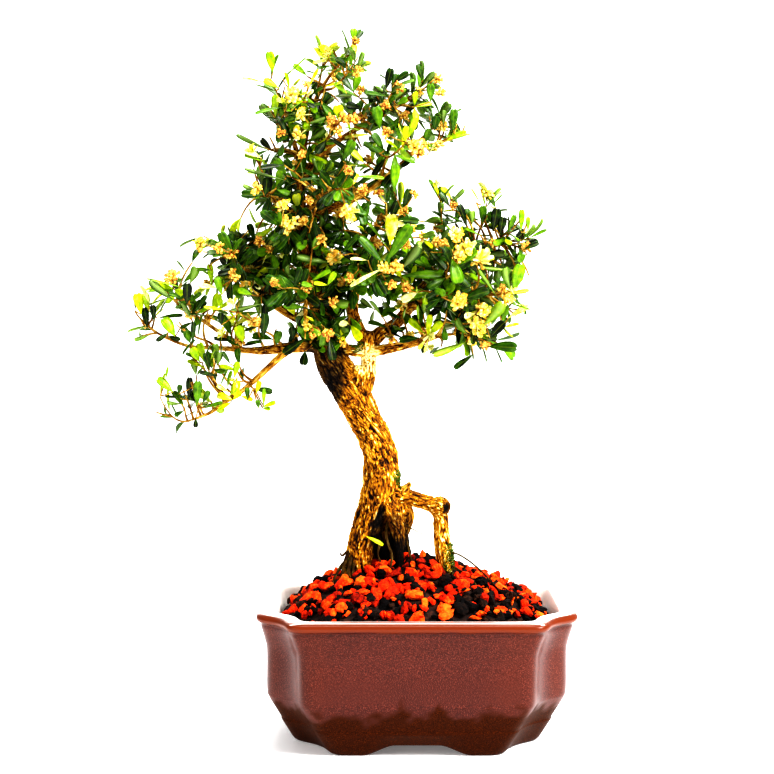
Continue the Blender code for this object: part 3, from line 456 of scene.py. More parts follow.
HOLLOW_ROOTS = [                # the tangle of roots behind the hollow between the legs, dark with its painted shade
    [(-20, 4, 138, 5.0), (-22, 6, 122, 4.2), (-23, 7, 106, 3.6), (-24, 7, 90, 3.2)],
    [(-16, 3, 138, 5.0), (-17, 3, 122, 4.4), (-17, 3, 106, 3.6), (-18, 3, 90, 3.0)],
    [(-12, 1, 137, 4.6), (-9, 1, 124, 4.6), (-9, 1, 110, 3.4), (-12, 1, 92, 2.8)],
    [(-8, -2, 134, 4.0), (-4.6, -2, 128, 3.6), (-5.5, -2, 120, 2.6), (-9, -2, 112, 2.4)],
]
FORK = [(-36, -1, 194, 7.6), (-29.0, -1, 206, 5.2), (-27.2, -1, 217, 4.4), (-29, -1, 227, 4.4),
        (-33.6, -3, 236, 3.9), (-36.6, -4, 246, 3.4), (-35, -4, 260, 2.9), (-30, -4, 274, 2.4),
        (-25, -3, 288, 2.0), (-21, -2, 301, 1.6)]
BRANCHES = {
    "leader": LEADER,
    "fork": FORK,
    "right_low": [(-42, 0, 224, 3.2), (-27, -3, 223, 3.2), (-12, -4, 225.5, 2.8), (2, -4, 228.6, 2.3),
                  (13, -4, 232, 1.8), (23, -3, 233, 1.0)],
    "right_mid": [(-29, -2, 225, 4.6), (-21, 1, 233, 4.2), (-12, 3, 238.5, 3.4), (-4, 4, 248, 2.9),
                  (4, 3, 260, 2.5), (14, 1, 269, 2.2), (27, 0, 276, 1.9), (40, 0, 281, 1.6),
                  (50, -1, 285, 1.0)],
    "right_front": [(-6, 4, 246, 2.6), (3, -6, 251, 2.2), (15, -12, 255, 1.8), (28, -14, 256, 1.5),
                    (41, -14, 256, 1.0)],
    "right_back": [(1, 4, 256, 2.4), (7, 15, 261, 2.0), (15, 26, 267, 1.6), (24, 35, 272, 1.0)],
    "upper_right": [(-65, 0, 292, 3.0), (-54, -3, 302, 2.6), (-41, -5, 308, 2.3), (-27, -5, 315, 2.0),
                    (-10, -4, 329, 1.7), (2, -4, 339, 1.5), (13, -4, 342, 1.0)],
    "upper_mid": [(-66, 0, 322, 2.6), (-56, 4, 335, 2.2), (-40, 6, 347, 1.9), (-23, 5, 356, 1.6),
                  (-7, 4, 365, 1.0)],
    "upper_left": [(-66, 0, 328, 2.4), (-70, 1, 342, 1.8), (-75, 1, 358, 1.0)],
    "left_high": [(-65, 0, 290, 2.8), (-74, 0, 302, 2.1), (-85, -1, 314, 1.0)],
    "left_mid": [(-52, 0, 236, 3.6), (-66, -1, 241, 2.9), (-79, -2, 248, 2.4), (-91, -2, 257, 2.0),
                 (-101, -1, 268, 1.6), (-108, 0, 278, 1.0)],
    "left_low": [(-50, -1, 226, 4.4), (-62, -2, 226, 3.6), (-74, -3, 225, 3.0), (-91, -4, 223.4, 2.4),
                 (-105, -4, 224.4, 2.0), (-118, -3, 225, 1.7), (-131, -2, 226, 1.5),
                 (-142, -2, 230, 1.35), (-150, -1, 234, 1.0)],
    "left_rise": [(-101, -4, 224, 1.9), (-109, -4, 231, 1.7), (-124, -3, 241.6, 1.5),
                  (-132, -1, 245.6, 1.35), (-139, 0, 252, 1.0)],
    "droop": [(-56, -3, 227, 3.4), (-67, -8, 226.6, 2.8), (-75, -12, 222.6, 2.4), (-90, -16, 209, 2.0),
              (-100, -17, 200.6, 1.8), (-109, -17, 194.6, 1.5), (-119, -17, 188, 1.35),
              (-128, -17, 184.6, 1.0)],
    "front_low": [(-56, -2, 247, 3.0), (-60, -14, 251, 2.0), (-63, -27, 256, 1.0)],
    "back_low": [(-56, 2, 248, 3.2), (-56, 17, 255, 2.0), (-54, 31, 260, 1.0)],
    "front_mid": [(-66, -1, 300, 2.8), (-59, -13, 306, 1.9), (-52, -25, 311, 1.0)],
    "back_mid": [(-66, 1, 300, 2.8), (-60, 15, 309, 1.9), (-53, 28, 317, 1.0)],
}
LIMB_STEPS, LIMB_SIDES = 8, 20
STOUT, STOUT_OVERLAP = 2.3, 0.35        # limbs over this radius grow into one piece with the trunk
BRANCH_SLIMMED = (1.4, 2.4), (0.62, 0.88)       # radius of a branch, and the share that is left of it
PLATE_WIDTH, PLATE_STRETCH, FURROW_DEPTH = 1.35, 4.0, 0.9
GRAIN_TWIST = 0.018                     # radians that the plates wind round the trunk for each mm
TRUNK_VOXEL = 0.62
CUT_ENDS = [(19.6, -9.4, 132.3, 3.0)]   # dark sawn ends, and their radius
LEG_GAP_X, LEG_GAP_Z = (-28.9, -0.5), (60, 137)         # painted shade in the gap between the legs, where it is widest
LEG_GAP_WIDEST, LEG_GAP_ABOVE, LEG_GAP_BELOW = 118, 0.39, 0.2   # its height, and how fast it narrows
GAP_ROOT_X, GAP_ROOT_Z = (-20, -1), (113, 142)          # a root in the gap with less painted shade
SHADED_X, SHADED_Z = (-66, -38.5), (184, 236)           # painted shade on a stretch under the crown
SHADED_WIDEST, SHADED_BELOW = 203, 0.35
FORK_HIGHLIGHT_X, FORK_HIGHLIGHT_Z = (-36, -19), (208, 228)         # a painted highlight at the fork
ARCH_FROM, DARKER_BELOW = 3.0, 98         # x from which the arch has painted sunlight, and height below which the foot darkens


def across(along):
    """Two rows of directions square to a path, from the axis that the path runs along least."""
    axis = np.eye(3)[int(np.argmin(np.abs(along.mean(axis=0))))]
    side = unit(np.cross(along, axis))
    return side, np.cross(along, side)


def join_tubes(paths, sides):
    """Points, faces and grain of several tubes, rings of a radius carried along rows of x, y, z, radius.

    The grain is each point's place across and along its own tube, so that a pattern runs with it.
    """
    points, faces, grain = [], [], []
    start = 0
    angle = 2 * math.pi * np.arange(sides)[None, :, None] / sides
    for number, path in enumerate(paths):
        side, up = across(unit(np.gradient(path[:, :3], axis=0)))
        ring = np.cos(angle) * side[:, None] + np.sin(angle) * up[:, None]
        points.append((path[:, None, :3] + path[:, 3, None, None] * ring).reshape(-1, 3))
        faces += [[corner + start for corner in face] for face in ring_faces(len(path), sides)]
        gone = np.cumsum(np.linalg.norm(np.diff(path[:, :3], axis=0, prepend=path[:1, :3]), axis=1))
        radius = np.maximum(path[:, 3], 0.9)[:, None, None]
        round_it = radius * np.concatenate([np.cos(angle), np.sin(angle)], axis=-1)
        ahead = np.broadcast_to((gone / PLATE_STRETCH + 7.3 * number)[:, None, None], (len(path), sides, 1))
        grain.append(np.concatenate([round_it, ahead], axis=-1).reshape(-1, 3))
        start += len(points[-1])
    return np.vstack(points), faces, np.vstack(grain)


def cork(place, seed):
    """How high the bark stands, from 0 in a furrow to 1 on a flake.

    Furrows run where a slow noise crosses zero, e to the -(noise / width)², at two sizes, and fade in
    and out with a third noise. Two finer noises break the plates into flakes.
    """
    warp = np.stack([noise(place * 0.7, seed + k) for k in range(3)], axis=-1)
    bent = place + 0.9 * warp
    broken = np.clip(0.75 + 0.9 * noise(place * 0.55, seed + 4), 0.15, 1)
    wide = broken * np.exp(-(noise(bent * 0.8, seed + 5) / 0.10) ** 2)
    narrow = np.exp(-(noise(bent * (1.8, 1.8, 1.4), seed + 6) / 0.16) ** 2)
    flakes = 0.22 * noise(bent * 1.7, seed + 7) + 0.24 * noise(place * 3.0, seed + 8)
    return np.clip(0.69 - np.maximum(wide, 0.5 * narrow) * 0.8 + flakes, 0, 1)


def limb_places(skin, paths):
    """For each point of the skin, its place across and along the nearest limb, and that limb's radius.

    The nearest limb is the one whose centre line is least radii away. The place across turns with
    the height by the grain's twist.
    """
    samples = np.vstack(paths)
    along = np.vstack([unit(np.gradient(path[:, :3], axis=0)) for path in paths])
    side = unit(np.cross(along, (0.05, 1.0, 0.02)))
    up = np.cross(along, side)
    gone = [40 * k + np.cumsum(np.linalg.norm(np.diff(path[:, :3], axis=0, prepend=path[:1, :3]), axis=1))
            for k, path in enumerate(paths)]
    gone = np.concatenate(gone)
    nearest = np.concatenate([
        np.argmin(np.linalg.norm(part[:, None] - samples[None, :, :3], axis=2) / samples[None, :, 3], axis=1)
        for part in np.array_split(skin, max(1, len(skin) // 6000))])
    away = skin - samples[nearest, :3]
    ahead = (away * along[nearest]).sum(axis=1)
    turn = GRAIN_TWIST * skin[:, 2]
    a, b = (away * side[nearest]).sum(axis=1), (away * up[nearest]).sum(axis=1)
    place = np.column_stack([a * np.cos(turn) - b * np.sin(turn), a * np.sin(turn) + b * np.cos(turn),
                             (gone[nearest] + ahead) / PLATE_STRETCH])
    return place, samples[nearest, 3]


def swayed(tree, level, pattern, reach, swing):
    """A node that adds to a level a swing up or down where a pattern is a reach off a half."""
    sway = add(tree, "MapRange", {"Value": pattern, "From Min": 0.5 - reach, "From Max": 0.5 + reach,
                                  "To Min": -swing, "To Max": swing})
    return add(tree, "Math", {0: level, 1: sway}, operation="ADD")


def between(values, low, high, soft):
    """1 where values lie from low to high, and down to 0 over a soft border inside them."""
    return np.clip((values - low) / soft, 0, 1) * np.clip((high - values) / soft, 0, 1)


def bark_stain_and_light(skin):
    """How much painted sunlight and how much stain and painted shade the bark has at each point.

    The gap between the legs and the stretch under the crown are darkened as painted shade, and the foot
    darkens towards the soil; the arch and the fork are made paler as painted sunlight. Each is a box in x
    and z with a soft border, of which one side comes in with the height where the leg or the trunk
    leans. Noise makes the gap's ends and the dark foot ragged.
    """
    x, z = skin[:, 0], skin[:, 2]
    leg_side = (LEG_GAP_X[0] + LEG_GAP_ABOVE * np.maximum(z - LEG_GAP_WIDEST, 0)
                + LEG_GAP_BELOW * np.maximum(LEG_GAP_WIDEST - z, 0))
    # Painted shade fills the gap between the legs, less on the root that stands in it.
    gap = between(x, leg_side, LEG_GAP_X[1], 2.5) * between(z + 8 * noise(skin / 8, 12), *LEG_GAP_Z, 4.0)
    gap -= 0.45 * between(x, *GAP_ROOT_X, 2.5) * between(z, *GAP_ROOT_Z, 4.0)
    # Painted shade on the trunk under the crown.
    shade_side = SHADED_X[1] - SHADED_BELOW * np.maximum(0, SHADED_WIDEST - z)
    shaded = between(z, *SHADED_Z, 7.0) * between(x, SHADED_X[0], shade_side, 4.0)
    fork_highlight = between(x, *FORK_HIGHLIGHT_X, 3.0) * between(z, *FORK_HIGHLIGHT_Z, 4.0)
    sunlit = np.clip((x - ARCH_FROM) / 6, 0, 1) * (z < 150) + 3.2 * fork_highlight
    darker_foot = np.clip((DARKER_BELOW - z) / 9, 0, 1) * np.clip(0.5 + 0.9 * noise(skin / 6, 10), 0, 1)
    dark = 1.2 * gap + shaded + darker_foot * 0.9 + 0.2 * noise(skin / 7, 9) - 0.14 - 0.3 * sunlit
    return sunlit, np.clip(dark, 0, 1)


# Cork bark: dry, fibrous and matt, weathered to ochre on the plates, so the eye sees pale broken ridges
# over nearly black furrows.
BARK_FLAKES = 1.15              # flakes for each mm across the grain
bark, tree, shader = new_material("boxwood_cork_bark", {
    "Roughness": 0.75, "IOR": 1.4, "Specular IOR Level": 0.3})
relief = add(tree, "Attribute", attribute_name="relief").outputs["Fac"]
girth = add(tree, "Attribute", attribute_name="girth").outputs["Fac"]
stain = add(tree, "Attribute", attribute_name="stain").outputs["Fac"]
grain = add(tree, "Attribute", attribute_name="grain").outputs["Vector"]
flake = add(tree, "TexNoise", {"Vector": grain, "Scale": BARK_FLAKES, "Detail": 5.0, "Roughness": 0.7,
                               "Distortion": 0.5})
level = swayed(tree, relief, flake, 0.16, 0.24)
plate = add(tree, "ValToRGB", {"Fac": level},
            [(0.10, "#0b0401"), (0.28, "#3f2003"), (0.48, "#834f08"), (0.70, "#b97c10"), (0.88, "#e4b630"),
             (1.0, "#fff2b8")])
twig = add(tree, "ValToRGB", {"Fac": level},
           [(0.10, "#1f0d03"), (0.36, "#64390c"), (0.64, "#ab7d22"), (0.98, "#efd477")])
# The darkest colours, for sawn ends, wet roots and the dark foot, and for the painted shade in the gap
# between the legs and under the crown.
wet_and_shaded = add(tree, "ValToRGB", {"Fac": level},
          [(0.25, "#030100"), (0.66, "#0d0603"), (0.90, "#2c1a08"), (1.0, "#6a4a1c")])
aged = add(tree, "Mix", {"Factor": girth, "A": twig, "B": plate}, data_type="RGBA")
stained_and_shaded = add(tree, "Mix", {"Factor": stain, "A": aged, "B": wet_and_shaded}, data_type="RGBA")
rough = add(tree, "Bump", {"Height": flake, "Strength": 0.9, "Distance": 0.7 * MM})
plug(shader, {"Base Color": stained_and_shaded, "Normal": rough})

limbs = {name: smooth_path(rows, LIMB_STEPS) for name, rows in BRANCHES.items()}
stout_rows = (TRUNK, BACK_LEG, FLAP_ROOT, ARCH_ROOT, *STUBS, *HOLLOW_ROOTS)
stout_paths = [smooth_path(rows, LIMB_STEPS) for rows in stout_rows]
stout_paths += [path[path[:, 3] > STOUT] for path in limbs.values() if (path[:, 3] > STOUT).sum() > 2]
thin_paths = [path[path[:, 3] < STOUT + STOUT_OVERLAP] for path in limbs.values()]
points, faces, _ = join_tubes(stout_paths, LIMB_SIDES)
trunk = make_piece("trunk_and_legs", points, faces, bark, "boxwood_bark")
fuse = trunk.modifiers.new("fuse", "REMESH")
fuse.mode = "VOXEL"
fuse.voxel_size = TRUNK_VOXEL * MM
soften = trunk.modifiers.new("soften", "SMOOTH")
soften.factor, soften.iterations = 0.5, 10
grown = bpy.data.meshes.new_from_object(trunk.evaluated_get(bpy.context.evaluated_depsgraph_get()))
trunk.modifiers.clear()
skin = np.zeros(len(grown.vertices) * 3)
outward = np.zeros(len(skin))
grown.vertices.foreach_get("co", skin)
grown.vertex_normals.foreach_get("vector", outward)
skin = skin.reshape(-1, 3) / MM - ORIGIN
outward = outward.reshape(-1, 3)
limb_place, limb_radius = limb_places(skin, stout_paths)
height = cork(limb_place / PLATE_WIDTH, 30)
lumps = noise(skin / 11, 2) * 0.7 + noise(skin / 5.0, 4) * 0.35
furrow = 2 * FURROW_DEPTH * np.clip(limb_radius / 7.0, 0.25, 1.0)
cut = np.zeros(len(skin))
for x, y, z, radius in CUT_ENDS:
    cut = np.maximum(cut, np.clip(1.8 - np.linalg.norm(skin - (x, y, z), axis=1) / radius, 0, 1))
raised = (height - 0.6) * furrow + lumps * np.clip(limb_radius / 8, 0.15, 1) - 0.8 * cut
skin = skin + outward * raised[:, None]
sunlit, stained = bark_stain_and_light(skin)
stained = np.maximum(stained, cut)
# Painted sunlight lifts the level the bark's colours are read at, so the arch and the fork are paler.
height = (height + 0.14 * sunlit) * (1 - 0.6 * cut)
grown.vertices.foreach_set("co", ((skin + ORIGIN) * MM).astype(np.float32).ravel())
store_fields(grown, {"relief": height, "girth": np.clip((limb_radius - 1.6) / 2.2, 0, 1), "stain": stained,
                     "grain": limb_place})
grown.materials.clear()
grown.materials.append(bark)
grown.shade_smooth()
trunk.data = grown
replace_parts(trunk, "wood")


def rough_tubes(name, paths, sides, seed, stain=0.0):
    """A piece of several thin tubes whose skin is moved by noise, with the bark's four fields."""
    points, faces, grain = join_tubes(paths, sides)
    radius = np.concatenate([np.repeat(path[:, 3], sides) for path in paths])
    centre = np.concatenate([np.repeat(path[:, :3], sides, axis=0) for path in paths])
    ridge = noise(points / (1.1, 1.1, 2.4), seed) + 0.6 * noise(points / 2.6, seed + 1)
    points = centre + (points - centre) * (1 + 0.13 * ridge)[:, None]
    return make_piece(name, points, faces, bark, "boxwood_bark", relief=0.6 + 0.3 * ridge,
                      girth=np.clip((radius - 1.2) / 1.4, 0, 1), stain=stain + 0 * radius, grain=grain)


slimmed = [np.column_stack([path[:, :3], path[:, 3] * np.interp(path[:, 3], *BRANCH_SLIMMED)])
           for path in thin_paths]
rough_tubes("branches", slimmed, 10, 50)

# Lava
# Broken scoria, screened to chips of 4 to 11 mm and strewn two deep over the soil. Most are fired-looking
# orange red, the rest near black; all are matt, pitted and sharp-edged.
CHIPS, CHIP_LEAST, CHIP_MOST = 1000, 2.2, 5.6            # number, and half length
DARK_SHARE, CHIP_CUTS, PORES, LAVA_BLOTCH = 0.42, 5, 0.9, 1.8
CHIP_TILT, CHIP_EDGE, CHIP_LIFT = 0.55, 0.93, (-1.4, 1.6)
STONE_LINES, STONE_COLUMNS, STONE_ROUGH = 5, 8, 0.08     # of the grid of directions, and its unevenness
CUT_LEAST, CUT_MOST, CUT_COSINE, STONE_REACH = 0.30, 0.80, 0.15, 1.2


def facet_stones(centre, along, upward, half, seed):
    """Sharp-edged stones, each a grid of directions cut back by random planes.

    A direction's reach is the least of each plane's distance over the cosine to its normal, and the
    stone's three half lengths then stretch it along, across and upward.
    """
    draw = np.random.default_rng(seed)
    count, lines, columns = len(centre), STONE_LINES, STONE_COLUMNS
    polar = np.linspace(0, math.pi, lines + 2)[1:-1, None]
    azimuth = np.arange(columns)[None] * 2 * math.pi / columns
    ring = np.stack([np.sin(polar) * np.cos(azimuth), np.sin(polar) * np.sin(azimuth),
                     np.cos(polar) + 0 * azimuth], axis=-1).reshape(-1, 3)
    rays = np.vstack([[(0, 0, 1)], ring, [(0, 0, -1)]])
    rays = unit(rays[None] + draw.normal(0, STONE_ROUGH, (count, len(rays), 3)))
    planes = unit(draw.normal(size=(count, CHIP_CUTS, 3)))
    distance = draw.uniform(CUT_LEAST, CUT_MOST, (count, 1, CHIP_CUTS))
    cosine = np.einsum("nri,npi->nrp", rays, planes)
    reach = np.where(cosine > CUT_COSINE, distance / np.maximum(cosine, CUT_COSINE), STONE_REACH)
    local = rays * np.minimum(reach.min(axis=2), STONE_REACH)[..., None] * half[:, None, :]
    side = unit(np.cross(upward, along))
    ahead = np.cross(side, upward)
    points = (centre[:, None] + local[..., :1] * ahead[:, None] + local[..., 1:2] * side[:, None]
              + local[..., 2:] * upward[:, None])
    near = 1 + np.arange(columns)
    turned = 1 + (np.arange(columns) + 1) % columns
    low = columns * (lines - 1)
    faces = np.stack([0 * near, near, turned], axis=-1).tolist()
    for line in range(lines - 1):
        a, b = near + columns * line, turned + columns * line
        faces += np.stack([a, a + columns, b + columns, b], axis=-1).tolist()
    faces += np.stack([near + low, 0 * near + columns * lines + 1, turned + low], axis=-1).tolist()
    size = rays.shape[1]
    return points, [[stone * size + corner for corner in face] for stone in range(count) for face in faces]


rng = np.random.default_rng(21)
share = np.sqrt(rng.uniform(0.0, CHIP_EDGE, CHIPS))
place_round = rng.uniform(0, 1, CHIPS)
lift = rng.uniform(*CHIP_LIFT, CHIPS)
chip_at = heap_point(share, place_round, lift)
outwards = heap_point(share + 0.02, place_round, lift) - chip_at
sideways = heap_point(share, place_round + 0.005, lift) - chip_at
upward = unit(np.cross(outwards, sideways))
upward = unit(upward * np.sign(upward[:, 2:]) + rng.normal(0, CHIP_TILT, (CHIPS, 3)))
along = unit(rng.normal(size=(CHIPS, 3)))
longest = CHIP_LEAST + (CHIP_MOST - CHIP_LEAST) * rng.random(CHIPS) ** 1.3
chip_half = longest[:, None] * np.column_stack([np.ones(CHIPS), rng.uniform(0.50, 0.92, CHIPS),
                                                rng.uniform(0.40, 0.72, CHIPS)])
clear = (share < 0.9) | (longest < 4.0)
for leg in stout_paths[:4]:
    x, y, _, radius = leg[np.argmin(np.abs(leg[:, 2] - MOUND_PEAK))]
    clear &= np.hypot(chip_at[:, 0] - x, chip_at[:, 1] - y) > radius + longest * 0.45

# Dark chips gather in patches, most of all in front on the right. All of the lowest chips and few of
# the highest are dark, painted shade in the gaps between the chips.
gather = noise(chip_at / 13, 8)
front_right = (chip_at[:, 0] > 22) & (chip_at[:, 1] < -8) & (share > 0.55)
dark = rng.random(CHIPS) < DARK_SHARE + 0.25 * gather + 0.32 * front_right - 0.25 * (lift > 0.6)
dark[lift < -0.9] = True

# Scoria: glassy lava full of gas holes, crushed, so the eye sees matt broken faces with pits.
CHIP_COLOURS = {
    "lava_red": [(0.0, "#5c1000"), (0.28, "#b02600"), (0.56, "#f03c00"), (1.0, "#ff7a20")],
    "lava_black": [(0.0, "#040202"), (0.5, "#0e0806"), (0.8, "#21140e"), (1.0, "#42291b")],
}
for name, stops in CHIP_COLOURS.items():
    chosen = clear & (dark if name == "lava_black" else ~dark)
    scoria, tree, shader = new_material("crushed_scoria_" + name, {
        "Roughness": 0.92, "IOR": 1.5, "Specular IOR Level": 0.3})
    place = add(tree, "TexCoord").outputs["Object"]
    tone = add(tree, "Attribute", attribute_name="tone").outputs["Fac"]
    pit = add(tree, "TexVoronoi", {"Vector": place, "Scale": 1 / (PORES * MM)})
    blotch = add(tree, "TexNoise", {"Vector": place, "Scale": 1 / (LAVA_BLOTCH * MM), "Detail": 4.0})
    shade = add(tree, "ValToRGB", {"Fac": swayed(tree, tone, blotch, 0.25, 0.3)}, stops)
    pitted = add(tree, "Bump", {"Height": pit, "Strength": 0.8, "Distance": 0.5 * MM})
    plug(shader, {"Base Color": shade, "Normal": pitted})
    points, faces = facet_stones(chip_at[chosen], along[chosen], upward[chosen], chip_half[chosen], 5)
    chips = make_piece(name, points, faces, scoria, "lava_chips", smooth=False,
                       tone=np.repeat(rng.beta(2.2, 1.8, chosen.sum()), points.shape[1]))
    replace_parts(chips, "lava_dressing")

# Twigs
# The last years' shoots, woody, brown and thin as wire. Each grows out of its branch in a smooth curve,
# then its stem sags a little to the tip. Shorter shoots fill the pads between them.
STEM_BASE, STEM_THIN, STEM_POINTS = 0.62, 0.30, 12
NODE_HALF, NODE_SPACING, NODES_MOST = 0.7, 8.4, 4
NODE_FIRST, NODE_LAST = 0.26, 0.93
SPRAY_SAG, SPRAY_SEED, SHOOT_SEED = 0.10, 100, 1000
TWIG_END, TWIG_STOUTEST, GAP = 2.0, 1.25, 0.3
SPRAYS = {                      # branch, where the stem begins and where it ends
    "apex_tip": ("leader", None, (-36.5, -5, 397)),
    "apex_left": ("leader", (-55, 2, 379), (-53, 4, 391)),
    "apex_back": ("leader", (-49, 9, 377), (-37, 25, 390)),
    "apex_front": ("leader", (-45, -11, 374), (-33, -23, 388)),
    "upleft_tip": ("upper_left", None, (-83, -2, 378)),
    "upleft_front": ("upper_left", (-75, -9, 350), (-83, -26, 361)),
    "upleft_back": ("upper_left", (-76, 11, 350), (-86, 31, 361)),
    "shoulder_left": ("upper_left", (-77, -1, 337), (-91, -4, 341)),
    "high_left_tip": ("left_high", None, (-94, -5, 318)),
    "high_left_front": ("left_high", (-80, -12, 311), (-91, -36, 318)),
    "high_left_back": ("left_high", (-79, 12, 309), (-90, 37, 317)),
    "crown_front": ("upper_mid", (-22, -4, 358), (-13, -12, 372)),
    "crown_tip": ("upper_mid", None, (3, 5, 376)),
    "crown_back": ("upper_mid", (-24, 15, 358), (-17, 36, 368)),
    "upper_right_front": ("upper_right", (-16, -15, 333), (-5, -38, 342)),
    "upper_right_tip": ("upper_right", None, (31, -5, 347)),
    "upper_right_back": ("upper_right", (4, 4, 346), (16, 17, 361)),
    "heart_front_top": ("upper_mid", (-52, -8, 342), (-46, -34, 352)),
    "heart_front": ("front_mid", None, (-42, -50, 314)),
    "heart_front_left": ("front_mid", (-66, -17, 294), (-76, -43, 294)),
    "heart_front_right": ("fork", (-19, -12, 296), (-8, -36, 302)),
    "heart_low_front": ("fork", (-28, -13, 268), (-20, -42, 268)),
    "low_front": ("front_low", None, (-72, -54, 260)),
    "heart_back": ("back_mid", None, (-44, 54, 321)),
    "low_back": ("back_low", None, (-56, 58, 268)),
    "heart_back_right": ("fork", (-17, 8, 303), (-5, 32, 310)),
    "heart_low_back": ("fork", (-27, 13, 268), (-18, 43, 272)),
    "right_top_near": ("right_mid", (15, -1, 288), (14, -4, 309)),
    "right_top_far": ("right_mid", (36, 4, 291), (41, 6, 309)),
    "right_tip": ("right_mid", None, (66, -3, 287)),
    "right_side": ("right_mid", (47, 8, 274), (64, 18, 268)),
    "right_front_tip": ("right_front", None, (61, -25, 257)),
    "right_front_mid": ("right_front", (15, -22, 264), (22, -46, 274)),
    "right_back_tip": ("right_back", None, (42, 52, 278)),
    "right_back_mid": ("right_back", (4, 26, 269), (0, 52, 276)),
    "right_low_tip": ("right_low", None, (48, -5, 227)),
    "right_low_front": ("right_low", (19, -14, 240), (38, -32, 242)),
    "left_mid_tip": ("left_mid", None, (-122, -2, 289)),
    "left_mid_front": ("left_mid", (-97, -12, 270), (-104, -39, 281)),
    "left_mid_back": ("left_mid", (-97, 11, 270), (-108, 39, 276)),
    "left_low_tip": ("left_low", None, (-153, -1, 249)),
    "left_low_side": ("left_low", (-122, -9, 230), (-136, -18, 239)),
    "left_low_front": ("left_low", (-84, -16, 234), (-94, -38, 246)),
    "left_rise_tip": ("left_rise", None, (-141, 1, 270)),
    "droop_tip": ("droop", None, (-146, -16, 198)),
    "droop_mid": ("droop", (-122, -22, 191), (-127, -27, 207)),
    "droop_up": ("droop", (-110, -20, 201), (-119, -24, 217)),
}
SIDE_SHOOTS, SIDE_LENGTH = 2, (7.0, 12.0)       # shoots on each stem, and their length
SIDE_YOUTH, PAD_YOUTH, PLACED_YOUTH = 0.5, 0.6, 0.3     # how many of their leaves are lime; at most in pads
REACH_MOST, REACH_LEAST = 30.0, 7.0
THICK_WOOD, THICK_AVOIDED = 3.4, 12.0   # radius over which a limb bears few shoots, and its handicap
SHORT_RADII, SHORT_THIN = (0.65, 0.35), 0.38
PLACED_FORWARD, DEEP_IN_PAD = 6.0, 13.0
CROWN_OUTLINE = np.array([      # x and z of the crown's edge as it is clipped, going round from the apex
    (-59, 407), (-55, 401), (-50, 397), (-42, 407), (-35, 408), (-32, 400), (-32, 388), (-27, 384),
    (-14, 385), (2, 389), (8, 382), (21, 377), (15, 371), (16, 366), (24, 361), (25, 355), (31, 349),
    (29, 344), (14, 342), (5, 334), (-8, 327), (-10, 317), (-6, 312), (8, 320), (30, 312), (37, 319),
    (44, 315), (50, 306), (66, 299), (78, 296), (75, 289), (64, 282), (62, 268), (61, 263), (65, 258),
    (60, 252), (65, 248), (58, 240), (54, 236), (60, 230), (60, 222), (40, 221), (21, 213), (20, 220),
    (2, 222), (-14, 229), (-38, 228), (-46, 217), (-64, 215), (-74, 222), (-86, 216), (-80, 200), (-80, 192),
    (-104, 188), (-122, 177), (-130, 176), (-143, 179), (-151, 190), (-153, 203), (-151, 211), (-143, 214),
    (-134, 212), (-141, 224), (-164, 228), (-164, 256), (-158, 266), (-143, 268), (-139, 276), (-131, 272),
    (-120, 275), (-127, 279), (-134, 288), (-121, 287), (-119, 293), (-110, 297), (-92, 305), (-95, 313),
    (-89, 320), (-99, 327), (-98, 337), (-90, 342), (-78, 344), (-79, 352), (-91, 361), (-83, 366),
    (-83, 371), (-100, 379), (-88, 382), (-87, 394), (-80, 395), (-78, 381), (-64, 391), (-58, 392),
], float)
CLEARINGS = [                   # x and z of see-through openings, and their half widths
    (-46, 363, 6, 4), (-45, 401, 4, 7), (-27, 378, 7, 5), (-70, 375, 5, 4), (-85, 294, 6, 4),
    (-79.5, 237.5, 6, 8), (-92, 241, 4, 5), (-138, 238, 6, 4), (-120, 236, 4, 7), (-133, 268, 3, 7),
    (-122, 264, 5, 3), (-114, 292, 5, 4), (-91, 327, 4, 3), (2, 309, 3, 6), (-146, 242, 4, 4),
    (-114, 203, 4, 5), (9, 297, 4, 5), (20, 217, 9, 3), (-131, 281, 3, 4), (-121, 277, 4, 3),
    (-121, 205, 5, 5), (-151, 254, 3, 4), (-127, 277, 4, 3), (-86, 365, 4, 3), (-149, 196, 3, 4),
    (-139, 206, 4, 4), (-28, 335, 4, 6), (-3, 314, 5, 4), (1, 305, 5, 5), (-17, 327, 4, 4),
    (-2, 346, 3, 4), (19, 235, 4, 4), (43, 276, 3, 3), (-90, 363, 4, 3), (-102, 300, 4, 3),
    (-142, 260, 4, 3), (-120, 243, 4, 3), (-13, 383, 4, 3), (64, 259, 6, 2.5), (-118, 253, 4, 3),
    (-31, 245, 3, 4), (-87, 382, 4, 3), (-116, 203, 5, 4), (-91, 319, 3, 3), (4, 291, 4, 3),
]
SEEN_FROM = np.array([-16.8, -1000.0, 275.0])       # where the outline is seen from, the camera's place
PADS = [                        # middle of each pad of foliage, its half widths and its number of shoots
    ((-46, -2, 390), (12, 12, 14), 2),
    ((-35, 0, 356), (54, 38, 19), 36),
    ((-54, 0, 322), (42, 40, 21), 36),
    ((-46, 0, 276), (48, 46, 36), 84),
    ((-54, -4, 238), (20, 30, 12), 14),
    ((26, 0, 266), (46, 48, 38), 74),
    ((-114, -2, 256), (40, 30, 20), 20),
    ((-96, 0, 288), (22, 24, 12), 9),
    ((-116, -17, 203), (32, 15, 18), 3),
    ((-86, 4, 273), (22, 28, 20), 36),
]
